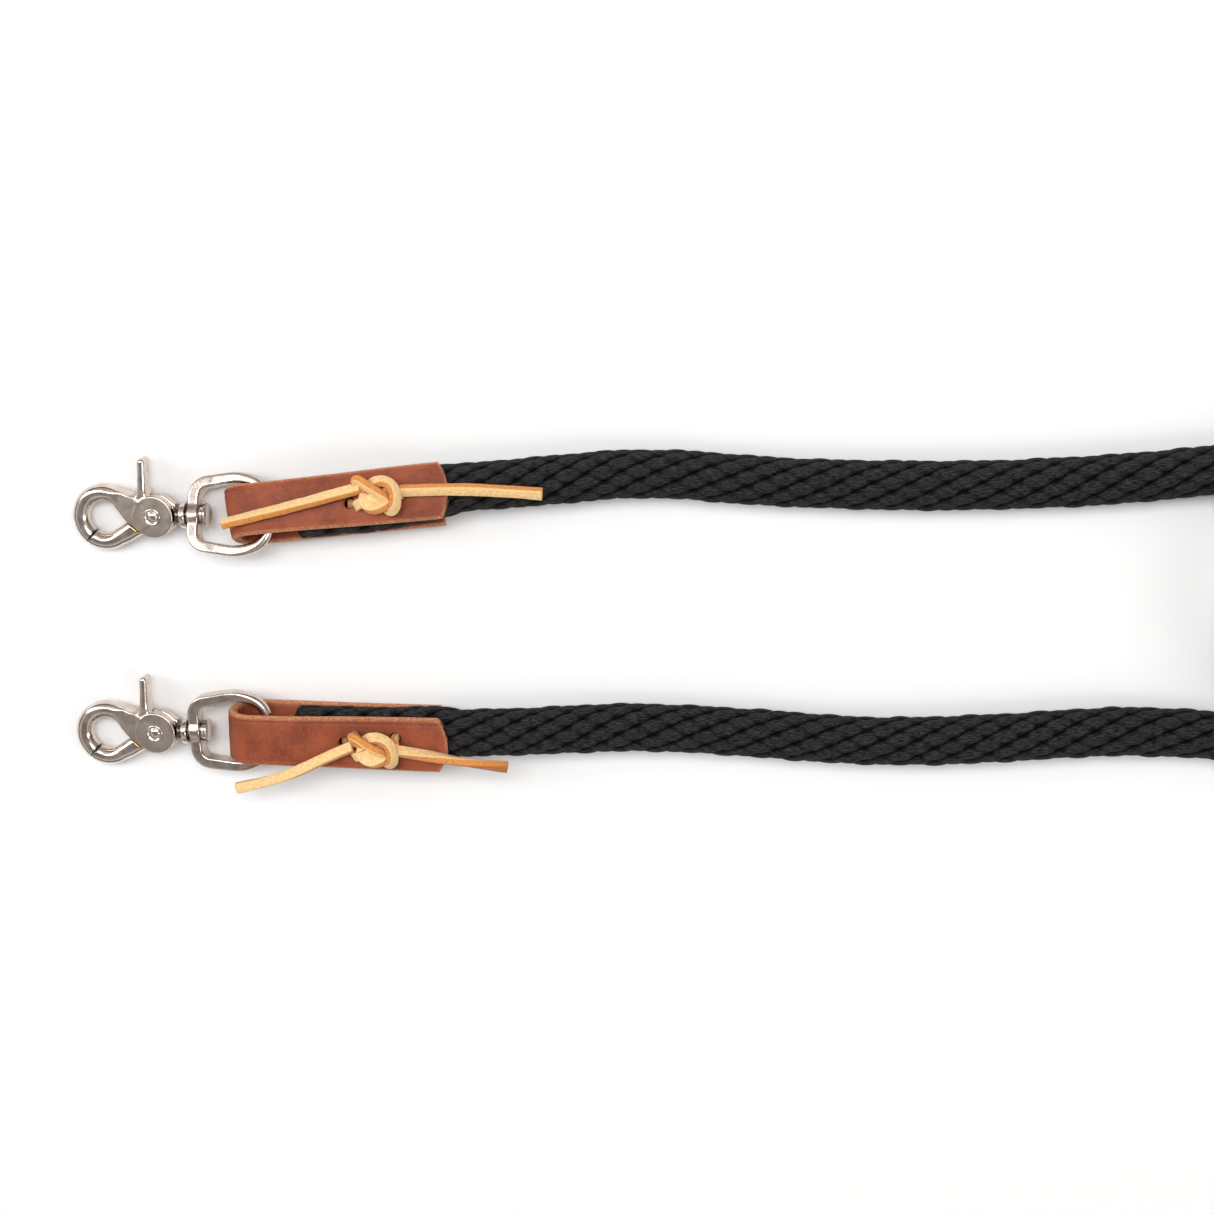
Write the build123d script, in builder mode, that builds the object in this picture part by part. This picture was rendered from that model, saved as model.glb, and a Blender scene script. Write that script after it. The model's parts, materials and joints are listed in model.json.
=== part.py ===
from build123d import *

import os
from math import asin, atan2, cos, degrees, hypot, pi, radians, sin, tan

# One-piece rope rein: a braided rope whose two ends are each held in a folded leather tab, with a
# swivel eye and a scissor snap in the fold. It lies on its back on the floor. +X runs from the snaps
# along the rope, +Y across from the lower strand to the upper one, +Z up. The origin is on the floor
# under the middle of the two ends. Millimetres.

# Rope. The rein measures eight feet from the tip of one snap to the tip of the other.
ROPE_D = 15.9
REIN_LENGTH = 2438.0
SQUASHED_WIDTH = 17.8
SQUASHED_DEPTH = 10.5
SQUASHED_ROUND = 4.5
ROPE_START = 8.5
SQUASHED_END = 60.0
ROPE_EXIT = 66.0

# Leather tab, in its own frame: x along the tab from the hinge line, z up through the layers
LEATHER = 3.2
TAB_GAP = 10.6
TAB_WIDTH = 17.0
TAB_DEPTH = TAB_GAP + 2 * LEATHER
FOLD_CENTRE = -5.0
FRONT_CORNER = 58.9
FRONT_TIP = 61.6
BACK_END = 56.9

# Lace
LACE_D = 3.4
LACE_HOLE_R = 2.0
LACE_STRAND_R = 1.9
LACE_WIDTH = 4.4
BRIDGE_FRONT = 1.8
BRIDGE_BACK = 1.2
KNOT_SIZE = (15.4, 11.6, 6.6)
KNOT_SHOULDER = 0.55
KNOT_CROWN = 0.67

# Swivel eye, in its own frame: the hinge line is its y axis, the near bar is at negative x
EYE_WIRE_R = 1.8
EYE_CORNERS = ((-25.65, 10.1), (-9.0, 12.6), (-0.2, 8.4))
EYE_RADII = (5.0, 9.0, 7.0)
NEAR_BAR_X = -25.65
NEAR_BAR_HALF = (1.95, 7.6, 3.0)
NEAR_BAR_ROUND = 2.4
BOSS_R = 3.7
STUD_R = 2.0
STUD_BORE_R = 2.06

# Snap, in its own frame: z is the pivot, x points to the swivel, y to the thumb paddle
PIVOT_X = -39.6
HALF_DEPTH = 3.25
HALF_GAP = 0.1
DISC_R = 7.1
REAR_DISC_R = 7.2
POCKET_R = 7.35
RING_CENTRE = (-17.8, -0.4)
RING_OUT = 11.1
HOOK_BORE_R = 5.6
TEAR_POINT = (-9.3, -1.7)
TIP_ANGLE = 232.0
SEAM_GAP = 0.15
TIP_GAP_ANGLE = 1.2
JAW_END = 308.0
JAW_FOOT = (-3.0, -6.25)
ARM_START = 55.0
RING_ROUND = 1.4
RIVET_R = 1.6
RIVET_HOLE_R = 1.65
RIVET_HEAD_R = 2.9
PADDLE_X = -4.0
PADDLE_HALF = 1.15
PADDLE_TOP = 19.0
PADDLE_INSET = 0.05
NECK_X = 7.3
NECK_SIZE = (6.0, 8.4)
NECK_END = 11.5
FLANGE_R = 4.6
FLANGE_THICK = 2.1
STUD_INSET = 2.9
STUD_HOLE = 3.0
STUD_FIT = 0.02
STUD_HEAD_X = 16.0
STUD_HEAD_R = 4.0
STUD_RIM = 1.6
STUD_DOME = 1.0
SPRING_R = 3.3
SPRING_WIRE_R = 0.35
SPRING_PITCH = 0.8
SPRING_TURNS = 2
SPRING_POCKET = (2.3, 4.6, 1.3)

# Where each end lies: hinge point, then the turns of its metal and its leather about Z, and the roll
# about its length that lifts one edge
ENDS = {
    "a": {
        "hinge": (3.0, 35.4, 10.9),
        "metal_yaw": 1.5,
        "tab_yaw": 5.5,
        "roll": 20.0,
        "pitch": 6.5,
        "holes": ((29.0, 0.0), (46.0, 0.8)),
    },
    "b": {
        "hinge": (-1.9, -38.7, 9.7),
        "metal_yaw": 2.2,
        "tab_yaw": -1.5,
        "roll": 0.0,
        "pitch": 5.5,
        "holes": ((27.0, -0.9), (44.2, 1.2)),
    },
}

# Lace tails, in the tab's frame
TAILS = {
    "lace_tail_left_a": ((30.4, 0.2, 11.0), (15.0, -0.2, 10.6), (1.0, -1.5, 10.5), (-12.8, -2.2, 10.7)),
    "lace_tail_right_a": ((46.6, 1.8, 11.0), (61.0, 0.9, 10.8), (76.0, -0.8, 10.0), (92.0, -3.5, 8.6)),
    "lace_tail_left_b": (
        (30.4, -2.6, 11.0),
        (21.5, -7.6, 10.6),
        (11.0, -13.4, 9.4),
        (0.0, -17.2, 7.4),
        (-10.4, -19.2, 5.2),
    ),
    "lace_tail_right_b": ((45.2, 0.6, 11.0), (58.5, -2.9, 11.0), (70.0, -6.4, 9.0), (81.2, -7.9, 6.9)),
}

# The two strands after their tabs: corners of each route, to the mouth of the hank
STRAND_A = (
    (91.3, 45.4, 9.0),
    (125.3, 48.5, 8.0),
    (169.3, 44.4, 8.0),
    (215.3, 43.0, 8.0),
    (261.3, 43.8, 8.0),
    (305.3, 47.6, 8.0),
    (344.3, 51.7, 8.95),
)
STRAND_B = (
    (87.3, -39.0, 8.6),
    (121.3, -37.0, 8.0),
    (159.3, -39.2, 8.0),
    (201.3, -42.4, 8.0),
    (242.3, -40.4, 8.0),
    (281.3, -37.4, 8.0),
    (317.3, -39.8, 8.2),
    (348.3, -43.7, 8.95),
)

# Hank: an oblong coil beyond the strands. Its runs lie two deep on each side, both strands come in on
# the lower level, and the last fold swings out past the other on its way down.
HANK_START = 367.3
HANK_MOUTH = 377.3
HANK_RUN = 270.0
HANK_TOP = 51.7
HANK_FOLD_R = 47.7
HANK_LEVELS = 2
HANK_LIFT = 1.0
TIE_THICK = 0.8
TIE_WIDTH = 22.0
TIE_SLACK = 0.2
TIE_ROUND = 2.0

made = {}


def keep(name, piece):
    """Label a finished piece and remember it under its node's name."""
    piece.part.label = name
    made[name] = piece.part


def turned_frame(origin, yaw, pitch, roll):
    """A plane whose x axis has this yaw and rise, rolled so that its +y edge goes down."""
    y, p, r = radians(yaw), radians(pitch), radians(roll)
    ex = Vector(cos(p) * cos(y), cos(p) * sin(y), sin(p))
    across = Vector(-sin(y), cos(y), 0)
    up = ex.cross(across)
    return Plane(Vector(*origin), x_dir=ex, z_dir=up * cos(r) + across * sin(r))


def plane_in(frame, origin, x_dir, z_dir):
    """A plane given in the frame's own coordinates."""
    at = frame.from_local_coords(Vector(*origin))
    x = frame.from_local_coords(Vector(*x_dir)) - frame.origin
    z = frame.from_local_coords(Vector(*z_dir)) - frame.origin
    return Plane(at, x_dir=x, z_dir=z)


def along_x(frame, x):
    """The frame's YZ plane at x, facing +x."""
    return plane_in(frame, (x, 0, 0), (0, 1, 0), (1, 0, 0))


def axial_plane(frame):
    """The frame's XZ plane, with the sketch's x along the frame's x and its y along the frame's z."""
    return plane_in(frame, (0, 0, 0), (1, 0, 0), (0, -1, 0))


def polar(centre, radius, angle):
    return (centre[0] + radius * cos(radians(angle)), centre[1] + radius * sin(radians(angle)))


def mirrored(points):
    """The upper corners of a closed outline, then their mirror images in reverse order."""
    return [*points, *[(x, -y) for x, y in reversed(points)]]


# --- leather, rope end and lace ---------------------------------------------------------------------


def leather_tab(name, frame, holes):
    """A strap folded round the eye: a U in side view, with a convex front end and two lace holes."""
    out, inside = TAB_DEPTH / 2, TAB_GAP / 2
    with BuildPart() as tab:
        with BuildSketch(axial_plane(frame)):
            with BuildLine():
                Line((BACK_END, -out), (FOLD_CENTRE, -out))
                RadiusArc((FOLD_CENTRE, -out), (FOLD_CENTRE, out), out)
                Polyline((FOLD_CENTRE, out), (FRONT_TIP, out), (FRONT_TIP, inside), (FOLD_CENTRE, inside))
                RadiusArc((FOLD_CENTRE, inside), (FOLD_CENTRE, -inside), -inside)
                Polyline((FOLD_CENTRE, -inside), (BACK_END, -inside), (BACK_END, -out))
            make_face()
        extrude(amount=TAB_WIDTH / 2, both=True)
        with BuildSketch(frame.offset(-out)):
            half = TAB_WIDTH / 2
            with BuildLine():
                Line((FRONT_CORNER, half), (FOLD_CENTRE - out, half))
                Line((FOLD_CENTRE - out, half), (FOLD_CENTRE - out, -half))
                Line((FOLD_CENTRE - out, -half), (FRONT_CORNER, -half))
                ThreePointArc((FRONT_CORNER, -half), (FRONT_TIP, 0), (FRONT_CORNER, half))
            make_face()
        extrude(amount=TAB_DEPTH, mode=Mode.INTERSECT)
        with BuildSketch(frame.offset(-out)):
            with Locations(*holes):
                Circle(LACE_HOLE_R)
        extrude(amount=TAB_DEPTH, mode=Mode.SUBTRACT)
    keep(name, tab)


def rope_end(name, frame, holes, mouth):
    """The end of the rope inside the tab, squashed flat, growing round again towards the mouth."""
    with BuildPart() as end:
        with BuildSketch(along_x(frame, ROPE_START)):
            RectangleRounded(SQUASHED_WIDTH, SQUASHED_DEPTH, SQUASHED_ROUND)
        extrude(amount=SQUASHED_END - ROPE_START)
        with BuildSketch(along_x(frame, SQUASHED_END)):
            RectangleRounded(SQUASHED_WIDTH, SQUASHED_DEPTH, SQUASHED_ROUND)
        with BuildSketch(mouth):
            Circle(ROPE_D / 2)
        loft()
        with BuildSketch(frame.offset(-ROPE_D)):
            with Locations(*holes):
                Circle(LACE_HOLE_R)
        extrude(amount=2 * ROPE_D, mode=Mode.SUBTRACT)
    keep(name, end)


def lace_knot(name, frame, holes):
    """The lace where it is worked: two strands through the tab, a bridge on its back, a knot in front."""
    (x1, y1), (x2, y2) = holes
    middle = ((x1 + x2) / 2, (y1 + y2) / 2)
    slant = degrees(atan2(y2 - y1, x2 - x1))
    span = hypot(x2 - x1, y2 - y1)
    out = TAB_DEPTH / 2
    with BuildPart() as knot:
        with BuildSketch(frame.offset(-out)):
            with Locations(*holes):
                Circle(LACE_STRAND_R)
        extrude(amount=TAB_DEPTH)
        for level, thickness in ((-out - BRIDGE_BACK, BRIDGE_BACK), (out, BRIDGE_FRONT)):
            with BuildSketch(frame.offset(level)):
                with Locations(Location((*middle, 0), (0, 0, slant))):
                    SlotCenterToCenter(span, LACE_WIDTH)
            extrude(amount=thickness)
        with BuildSketch(frame.offset(out)):
            with Locations(middle):
                Ellipse(KNOT_SIZE[0] / 2, KNOT_SIZE[1] / 2)
        with BuildSketch(frame.offset(out + KNOT_SIZE[2] * KNOT_SHOULDER)):
            with Locations(middle):
                Ellipse(KNOT_SIZE[0] / 2, KNOT_SIZE[1] / 2)
        with BuildSketch(frame.offset(out + KNOT_SIZE[2])):
            with Locations(middle):
                Ellipse(KNOT_SIZE[0] / 2 * KNOT_CROWN, KNOT_SIZE[1] / 2 * KNOT_CROWN)
        loft(ruled=True)
    keep(name, knot)


# --- cords -------------------------------------------------------------------------------------------


def cord_tube(name, points, diameter):
    """A tube along straight runs and the largest tangent arcs that its runs allow."""
    points = [Vector(*p) for p in points]
    runs = [(b - a).length for a, b in zip(points, points[1:])]
    radii = []
    for i in range(1, len(points) - 1):
        turn = (points[i] - points[i - 1]).get_angle(points[i + 1] - points[i])
        radii.append(0.45 * min(runs[i - 1], runs[i]) / tan(radians(turn) / 2))
    with BuildPart() as tube:
        with BuildLine() as path:
            FilletPolyline(*points, radius=radii)
        with BuildSketch(Plane(points[0], z_dir=points[1] - points[0])):
            Circle(diameter / 2)
        sweep(path=path.wires()[0])
    length = path.wires()[0].length
    volume = pi * diameter**2 / 4 * length
    print(f"{name}: length {length:.1f}, runs {min(runs):.0f} to {max(runs):.0f}")
    print(f"  radii {', '.join(f'{r:.0f}' for r in radii)}")
    print(f"  volume over section x length: {tube.part.volume / volume:.4f}")
    keep(name, tube)
    return length


def rope_hank():
    """The outer shape of the stacked turns, open below its near folds, where the strands come in."""
    length = HANK_RUN + ROPE_D
    middle = (HANK_START + length / 2, HANK_TOP - HANK_FOLD_R)
    with BuildPart() as hank:
        with BuildSketch(Plane.XY.offset(HANK_LIFT)):
            with Locations(middle):
                SlotCenterToCenter(length, 2 * HANK_FOLD_R + ROPE_D)
                SlotCenterToCenter(length, 2 * HANK_FOLD_R - ROPE_D, mode=Mode.SUBTRACT)
        extrude(amount=HANK_LEVELS * ROPE_D)
        with BuildSketch(Plane.XY):
            with Locations((HANK_MOUTH - HANK_RUN / 2, HANK_TOP - HANK_FOLD_R)):
                Rectangle(HANK_RUN, 4 * HANK_FOLD_R)
        extrude(amount=HANK_LIFT + ROPE_D, mode=Mode.SUBTRACT)
    keep("rope_hank", hank)


def hank_tie():
    """Two flat bands, one round each side of the hank."""
    inner = (ROPE_D + 2 * TIE_SLACK, HANK_LEVELS * ROPE_D + 2 * TIE_SLACK)
    height = HANK_LIFT + HANK_LEVELS * ROPE_D / 2
    with BuildPart() as tie:
        for y in (HANK_TOP, HANK_TOP - 2 * HANK_FOLD_R):
            middle = plane_in(Plane.XY, (HANK_START + HANK_RUN / 2, y, height), (0, 1, 0), (1, 0, 0))
            with BuildSketch(middle):
                RectangleRounded(inner[0] + 2 * TIE_THICK, inner[1] + 2 * TIE_THICK, TIE_ROUND)
                Rectangle(*inner, mode=Mode.SUBTRACT)
            extrude(amount=TIE_WIDTH / 2, both=True)
    keep("hank_tie", tie)


# --- swivel eye and snap -----------------------------------------------------------------------------


def swivel_eye(name, frame):
    """A D of round wire, with a flat near bar and a boss bored for the swivel stud."""
    corners = mirrored(EYE_CORNERS)
    radii = [*EYE_RADII, *reversed(EYE_RADII)]
    with BuildPart() as eye:
        with BuildLine(frame) as path:
            FilletPolyline(*corners, radius=radii, close=True)
        with BuildSketch(plane_in(frame, (NEAR_BAR_X, 0, 0), (1, 0, 0), (0, 1, 0))):
            Circle(EYE_WIRE_R)
        sweep(path=path.wires()[0])
        hx, hy, hz = NEAR_BAR_HALF
        with BuildSketch(along_x(frame, NEAR_BAR_X - hx)):
            RectangleRounded(2 * hy, 2 * hz, NEAR_BAR_ROUND)
            Circle(BOSS_R)
        extrude(amount=2 * hx)
        with BuildSketch(along_x(frame, NEAR_BAR_X - 3 * hx)):
            Circle(STUD_BORE_R)
        extrude(amount=6 * hx, mode=Mode.SUBTRACT)
    keep(name, eye)


def seam_line():
    """From the hook's inner point, along the tangent to the pocket circle: its far end."""
    px, py = TEAR_POINT
    distance = hypot(px, py)
    heading = degrees(atan2(-py, -px)) - degrees(asin(POCKET_R / distance))
    length = (distance**2 - POCKET_R**2) ** 0.5
    return polar(TEAR_POINT, length, heading)


def ring_section(frame, angle):
    """The plane across the hook's ring at this angle: the sketch's x is radial, its y the frame's z."""
    c, d = cos(radians(angle)), sin(radians(angle))
    middle = polar(RING_CENTRE, (RING_OUT + HOOK_BORE_R) / 2, angle)
    return plane_in(frame, (*middle, 0), (c, d, 0), (d, -c, 0))


def ring_axis(frame):
    return Axis(frame.from_local_coords(Vector(*RING_CENTRE, 0)), frame.z_dir)


def jaw_face():
    """The fixed lower jaw's web, from the ring to the rear disc, up to the seam."""
    far = seam_line()
    with BuildSketch() as face:
        Polygon(
            polar(RING_CENTRE, RING_OUT - 0.01, 300.0),
            JAW_FOOT,
            (0.0, -3.0),
            far,
            TEAR_POINT,
            RING_CENTRE,
            align=None,
        )
        with Locations(RING_CENTRE):
            Circle(HOOK_BORE_R, mode=Mode.SUBTRACT)
    return face.sketch


def lever_face():
    """The moving hook's web, from the ring to the front disc, down to the seam."""
    far = seam_line()
    with BuildSketch() as face:
        Polygon(
            RING_CENTRE,
            polar(RING_CENTRE, RING_OUT - 0.01, 58.0),
            (-8.4, 7.6),
            (-5.6, 6.6),
            (-3.0, 0.0),
            (far[0] + SEAM_GAP, far[1] + SEAM_GAP),
            (TEAR_POINT[0] + SEAM_GAP, TEAR_POINT[1] + SEAM_GAP),
            align=None,
        )
        with Locations(RING_CENTRE):
            Circle(HOOK_BORE_R, mode=Mode.SUBTRACT)
    return face.sketch


def paddle_face():
    """Side profile of the thumb paddle, flared at its foot."""
    left, right = PADDLE_X - PADDLE_HALF, PADDLE_X + PADDLE_HALF
    foot, shoulder = 5.4, PADDLE_TOP - 1.1
    with BuildSketch() as face:
        with BuildLine():
            Polyline((left, shoulder), (left, 10.4), (left - 1.0, 8.0), (left - 2.4, foot))
            Polyline((left - 2.4, foot), (right + 3.4, foot))
            Polyline((right + 3.4, foot), (right + 1.0, 8.0), (right, 10.4), (right, shoulder))
            ThreePointArc((left, shoulder), (PADDLE_X, PADDLE_TOP), (right, shoulder))
        make_face()
    return face.sketch


def spring_groove():
    """The ring round the pivot that the spring lies in."""
    with BuildSketch() as groove:
        Circle(SPRING_POCKET[1])
        Circle(SPRING_POCKET[0], mode=Mode.SUBTRACT)
    return groove.sketch


def snap_body(name, frame):
    """The half that stays with the swivel: rear disc, lower jaw, neck and flange."""
    with BuildPart() as body:
        with BuildSketch(ring_section(frame, TIP_ANGLE + TIP_GAP_ANGLE)):
            RectangleRounded(RING_OUT - HOOK_BORE_R, 2 * HALF_DEPTH, RING_ROUND)
        revolve(axis=ring_axis(frame), revolution_arc=JAW_END - TIP_ANGLE - TIP_GAP_ANGLE)
        with BuildSketch(frame.offset(-HALF_DEPTH)):
            add(jaw_face())
        extrude(amount=2 * HALF_DEPTH)
        with BuildSketch(frame.offset(-HALF_DEPTH)):
            with Locations((NECK_X, 0)):
                Rectangle(*NECK_SIZE)
        extrude(amount=2 * HALF_DEPTH)
        with BuildSketch(frame.offset(-HALF_GAP)):
            Circle(POCKET_R)
        extrude(amount=2 * HALF_DEPTH, mode=Mode.SUBTRACT)
        with BuildSketch(frame.offset(-HALF_DEPTH)):
            Circle(REAR_DISC_R)
        extrude(amount=HALF_DEPTH - HALF_GAP)
        with BuildSketch(along_x(frame, NECK_END - FLANGE_THICK)):
            Circle(FLANGE_R)
        extrude(amount=FLANGE_THICK)
        with BuildSketch(frame.offset(-2 * HALF_DEPTH)):
            Circle(RIVET_HOLE_R)
        extrude(amount=4 * HALF_DEPTH, mode=Mode.SUBTRACT)
        with BuildSketch(frame.offset(-HALF_GAP - SPRING_POCKET[2])):
            add(spring_groove())
        extrude(amount=SPRING_POCKET[2], mode=Mode.SUBTRACT)
        with BuildSketch(along_x(frame, NECK_END - STUD_HOLE)):
            Circle(STUD_R + STUD_FIT)
        extrude(amount=2 * STUD_HOLE, mode=Mode.SUBTRACT)
    keep(name, body)


def hook_lever(name, frame):
    """The half that the thumb moves: front disc, upper hook and paddle."""
    with BuildPart() as lever:
        with BuildSketch(ring_section(frame, ARM_START)):
            RectangleRounded(RING_OUT - HOOK_BORE_R, 2 * HALF_DEPTH, RING_ROUND)
        revolve(axis=ring_axis(frame), revolution_arc=TIP_ANGLE - ARM_START)
        with BuildSketch(frame.offset(-HALF_DEPTH)):
            add(lever_face())
        extrude(amount=2 * HALF_DEPTH)
        with BuildSketch(frame.offset(PADDLE_INSET - HALF_DEPTH)):
            add(paddle_face())
        extrude(amount=2 * (HALF_DEPTH - PADDLE_INSET))
        with BuildSketch(frame.offset(-2 * HALF_DEPTH)):
            Circle(POCKET_R)
        extrude(amount=2 * HALF_DEPTH + HALF_GAP, mode=Mode.SUBTRACT)
        with BuildSketch(frame.offset(HALF_GAP)):
            Circle(DISC_R)
        extrude(amount=HALF_DEPTH - HALF_GAP)
        with BuildSketch(frame.offset(-HALF_DEPTH)):
            Circle(RIVET_HOLE_R)
        extrude(amount=2 * HALF_DEPTH, mode=Mode.SUBTRACT)
        with BuildSketch(frame.offset(HALF_GAP)):
            add(spring_groove())
        extrude(amount=SPRING_POCKET[2], mode=Mode.SUBTRACT)
    keep(name, lever)


def pivot_rivet(name, frame):
    """A shank with a rimmed head at each face."""
    head, rim, dome = 0.5, 0.35, 0.75
    low = HALF_DEPTH + 0.05
    with BuildPart() as rivet:
        with BuildSketch(axial_plane(frame)):
            with BuildLine():
                Polyline(
                    (0, -low - dome),
                    (1.7, -low - head),
                    (2.2, -low - rim),
                    (RIVET_HEAD_R, -low - rim),
                    (RIVET_HEAD_R, -low),
                    (RIVET_R, -low),
                    (RIVET_R, low),
                    (RIVET_HEAD_R, low),
                    (RIVET_HEAD_R, low + rim),
                    (2.2, low + rim),
                    (1.7, low + head),
                    (0, low + dome),
                    close=True,
                )
            make_face()
        revolve(axis=Axis(frame.origin, frame.z_dir))
    keep(name, rivet)


def swivel_stud(name, frame):
    """The headed pin that joins the neck to the eye."""
    foot = NECK_END - STUD_INSET
    with BuildPart() as stud:
        with BuildSketch(along_x(frame, foot)):
            Circle(STUD_R)
        extrude(amount=STUD_HEAD_X - foot)
        with BuildSketch(along_x(frame, STUD_HEAD_X)):
            Circle(STUD_HEAD_R)
        extrude(amount=STUD_RIM + STUD_DOME)
        fillet(stud.edges().group_by(Axis(frame.origin, frame.x_dir))[-1], STUD_DOME)
    keep(name, stud)


def lever_spring(name, frame):
    """The torsion coil in the groove between the discs."""
    height = SPRING_TURNS * SPRING_PITCH
    base = frame.offset(-height / 2)
    with BuildPart() as spring:
        with BuildLine() as path:
            Helix(SPRING_PITCH, height, SPRING_R, center=base.origin, direction=base.z_dir)
        with BuildSketch(Plane(path.edges()[0] @ 0, z_dir=path.edges()[0] % 0)):
            Circle(SPRING_WIRE_R)
        sweep(path=path.wires()[0], is_frenet=True)
    keep(name, spring)


# --- assembly ----------------------------------------------------------------------------------------

routes = {"a": STRAND_A, "b": STRAND_B}
mouths = {
    "a": (HANK_MOUTH, HANK_TOP, HANK_LIFT + ROPE_D / 2),
    "b": (HANK_MOUTH, HANK_TOP - 2 * HANK_FOLD_R, HANK_LIFT + ROPE_D / 2),
}
free_length = 0.0

for end, place in ENDS.items():
    tab = turned_frame(place["hinge"], place["tab_yaw"], 0, place["roll"])
    eye = turned_frame(place["hinge"], place["metal_yaw"], place["pitch"], place["roll"])
    flat = turned_frame(place["hinge"], place["metal_yaw"], place["pitch"], 0)
    snap = plane_in(flat, (PIVOT_X, 0, 0), (1, 0, 0), (0, 0, 1))
    exit_at = tab.from_local_coords(Vector(ROPE_EXIT, 0, 0))
    leather_tab(f"leather_tab_{end}", tab, place["holes"])
    mouth = Plane(exit_at, z_dir=Vector(*routes[end][0]) - exit_at)
    rope_end(f"rope_end_{end}", tab, place["holes"], mouth)
    lace_knot(f"lace_knot_{end}", tab, place["holes"])
    swivel_eye(f"swivel_eye_{end}", eye)
    snap_body(f"snap_body_{end}", snap)
    hook_lever(f"hook_lever_{end}", snap)
    pivot_rivet(f"pivot_rivet_{end}", snap)
    swivel_stud(f"swivel_stud_{end}", snap)
    lever_spring(f"lever_spring_{end}", snap)
    for side in ("left", "right"):
        name = f"lace_tail_{side}_{end}"
        cord_tube(name, [tab.from_local_coords(Vector(*p)) for p in TAILS[name]], LACE_D)
    free_length += cord_tube(f"rope_run_{end}", [exit_at, *routes[end], mouths[end]], ROPE_D)
    for label, frame in (("hinge", eye), ("snap", snap)):
        axes = [[round(v, 5) for v in d] for d in (frame.x_dir, frame.y_dir, frame.z_dir)]
        print(f"{end} {label}: origin {[round(v, 3) for v in frame.origin]}, axes {axes}")

rope_hank()
hank_tie()

in_tabs = 2 * (ROPE_EXIT - ROPE_START)
in_hank = 4 * HANK_RUN + 2 * (HANK_START - HANK_MOUTH) + 2 * ROPE_D + 3 * pi * HANK_FOLD_R
beyond_rope = 2 * (ROPE_START - PIVOT_X - RING_CENTRE[0] + RING_OUT)
print(f"rope: {in_tabs:.0f} in the tabs, {free_length:.0f} in the strands, {in_hank:.0f} in the hank")
print(f"  {in_tabs + free_length + in_hank:.0f} in all, of {REIN_LENGTH - beyond_rope:.0f}")

os.makedirs("parts", exist_ok=True)
for name, part in made.items():
    export_step(part, f"parts/{name}.step")
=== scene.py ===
import json
import math

import bpy
import numpy as np
from mathutils import Matrix, Vector


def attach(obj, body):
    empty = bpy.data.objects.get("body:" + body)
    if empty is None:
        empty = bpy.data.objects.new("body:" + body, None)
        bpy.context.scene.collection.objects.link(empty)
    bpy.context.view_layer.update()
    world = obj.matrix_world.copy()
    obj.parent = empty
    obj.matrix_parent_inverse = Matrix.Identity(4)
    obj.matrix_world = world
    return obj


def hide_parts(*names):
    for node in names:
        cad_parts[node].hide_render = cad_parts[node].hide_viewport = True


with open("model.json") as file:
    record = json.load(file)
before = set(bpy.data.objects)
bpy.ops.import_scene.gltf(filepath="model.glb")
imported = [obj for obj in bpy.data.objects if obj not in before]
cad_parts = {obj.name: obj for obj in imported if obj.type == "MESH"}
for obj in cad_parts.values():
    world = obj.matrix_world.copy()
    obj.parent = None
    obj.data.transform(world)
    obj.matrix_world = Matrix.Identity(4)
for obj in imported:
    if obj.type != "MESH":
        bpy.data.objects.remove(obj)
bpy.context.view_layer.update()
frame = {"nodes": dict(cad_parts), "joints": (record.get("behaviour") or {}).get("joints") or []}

# A rope rein with leather ends. Sizes are millimetres, in the row frame or in the frame of the part
# that a function builds, and METRE turns them into Blender's metres.
METRE = 0.001
UP = np.array([0.0, 0.0, 1.0])


def add_object(name, data):
    made = bpy.data.objects.new(name, data)
    bpy.context.scene.collection.objects.link(made)
    return made


# --- camera ---

# Where the camera looks, how far off it is, its lean in degrees, and how wide the view is there
CAMERA_TARGET = (112.6, 3.4, 8.0)
CAMERA_DISTANCE = 900.0
CAMERA_LEAN_X = 7.0
CAMERA_LEAN_Y = 15.0
FRAME_WIDTH = 394.6
SENSOR = 36.0


def add_camera():
    """Looks down at the ends from a little beyond their upper right."""
    back = np.array([math.sin(math.radians(CAMERA_LEAN_X)), math.sin(math.radians(CAMERA_LEAN_Y)), 0.0])
    back[2] = math.sqrt(1 - back @ back)
    up = np.array([0.0, back[2], -back[1]])
    up /= np.linalg.norm(up)
    right = np.cross(up, back)
    data = bpy.data.cameras.new("camera")
    data.sensor_width = SENSOR
    data.lens = SENSOR * CAMERA_DISTANCE / FRAME_WIDTH
    data.clip_end = 20.0
    camera = add_object("camera", data)
    place = np.eye(4)
    place[:3, :3] = np.array([right, up, back]).T
    place[:3, 3] = (np.array(CAMERA_TARGET) + CAMERA_DISTANCE * back) * METRE
    camera.matrix_world = Matrix(place)
    bpy.context.scene.camera = camera


# --- frames ---

JOINTS = {row["name"]: row for row in frame["joints"]}
TAB_YAW = {"a": 5.5, "b": -1.5}
TAB_ROLL = {"a": 20.0, "b": 0.0}


class Place:
    """A frame: its origin in millimetres and its axes as rows."""

    def __init__(self, origin, x, y, z):
        self.origin = np.array(origin, float)
        self.axes = np.array([x, y, z], float)

    def out(self, points):
        """Points given in this frame, in the row frame."""
        return self.origin + np.asarray(points, float) @ self.axes

    def into(self, points):
        """Points given in the row frame, in this frame."""
        return (np.asarray(points) - self.origin) @ self.axes.T


def joint(name):
    """Where a joint is, in millimetres, and its axis."""
    return np.array(JOINTS[name]["pos_m"], float) / METRE, np.array(JOINTS[name]["axis"], float)


def eye_place(end):
    (origin, y), (_, x) = joint(f"eye_tilt_{end}"), joint(f"snap_swivel_{end}")
    return Place(origin, x, y, np.cross(x, y))


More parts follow.
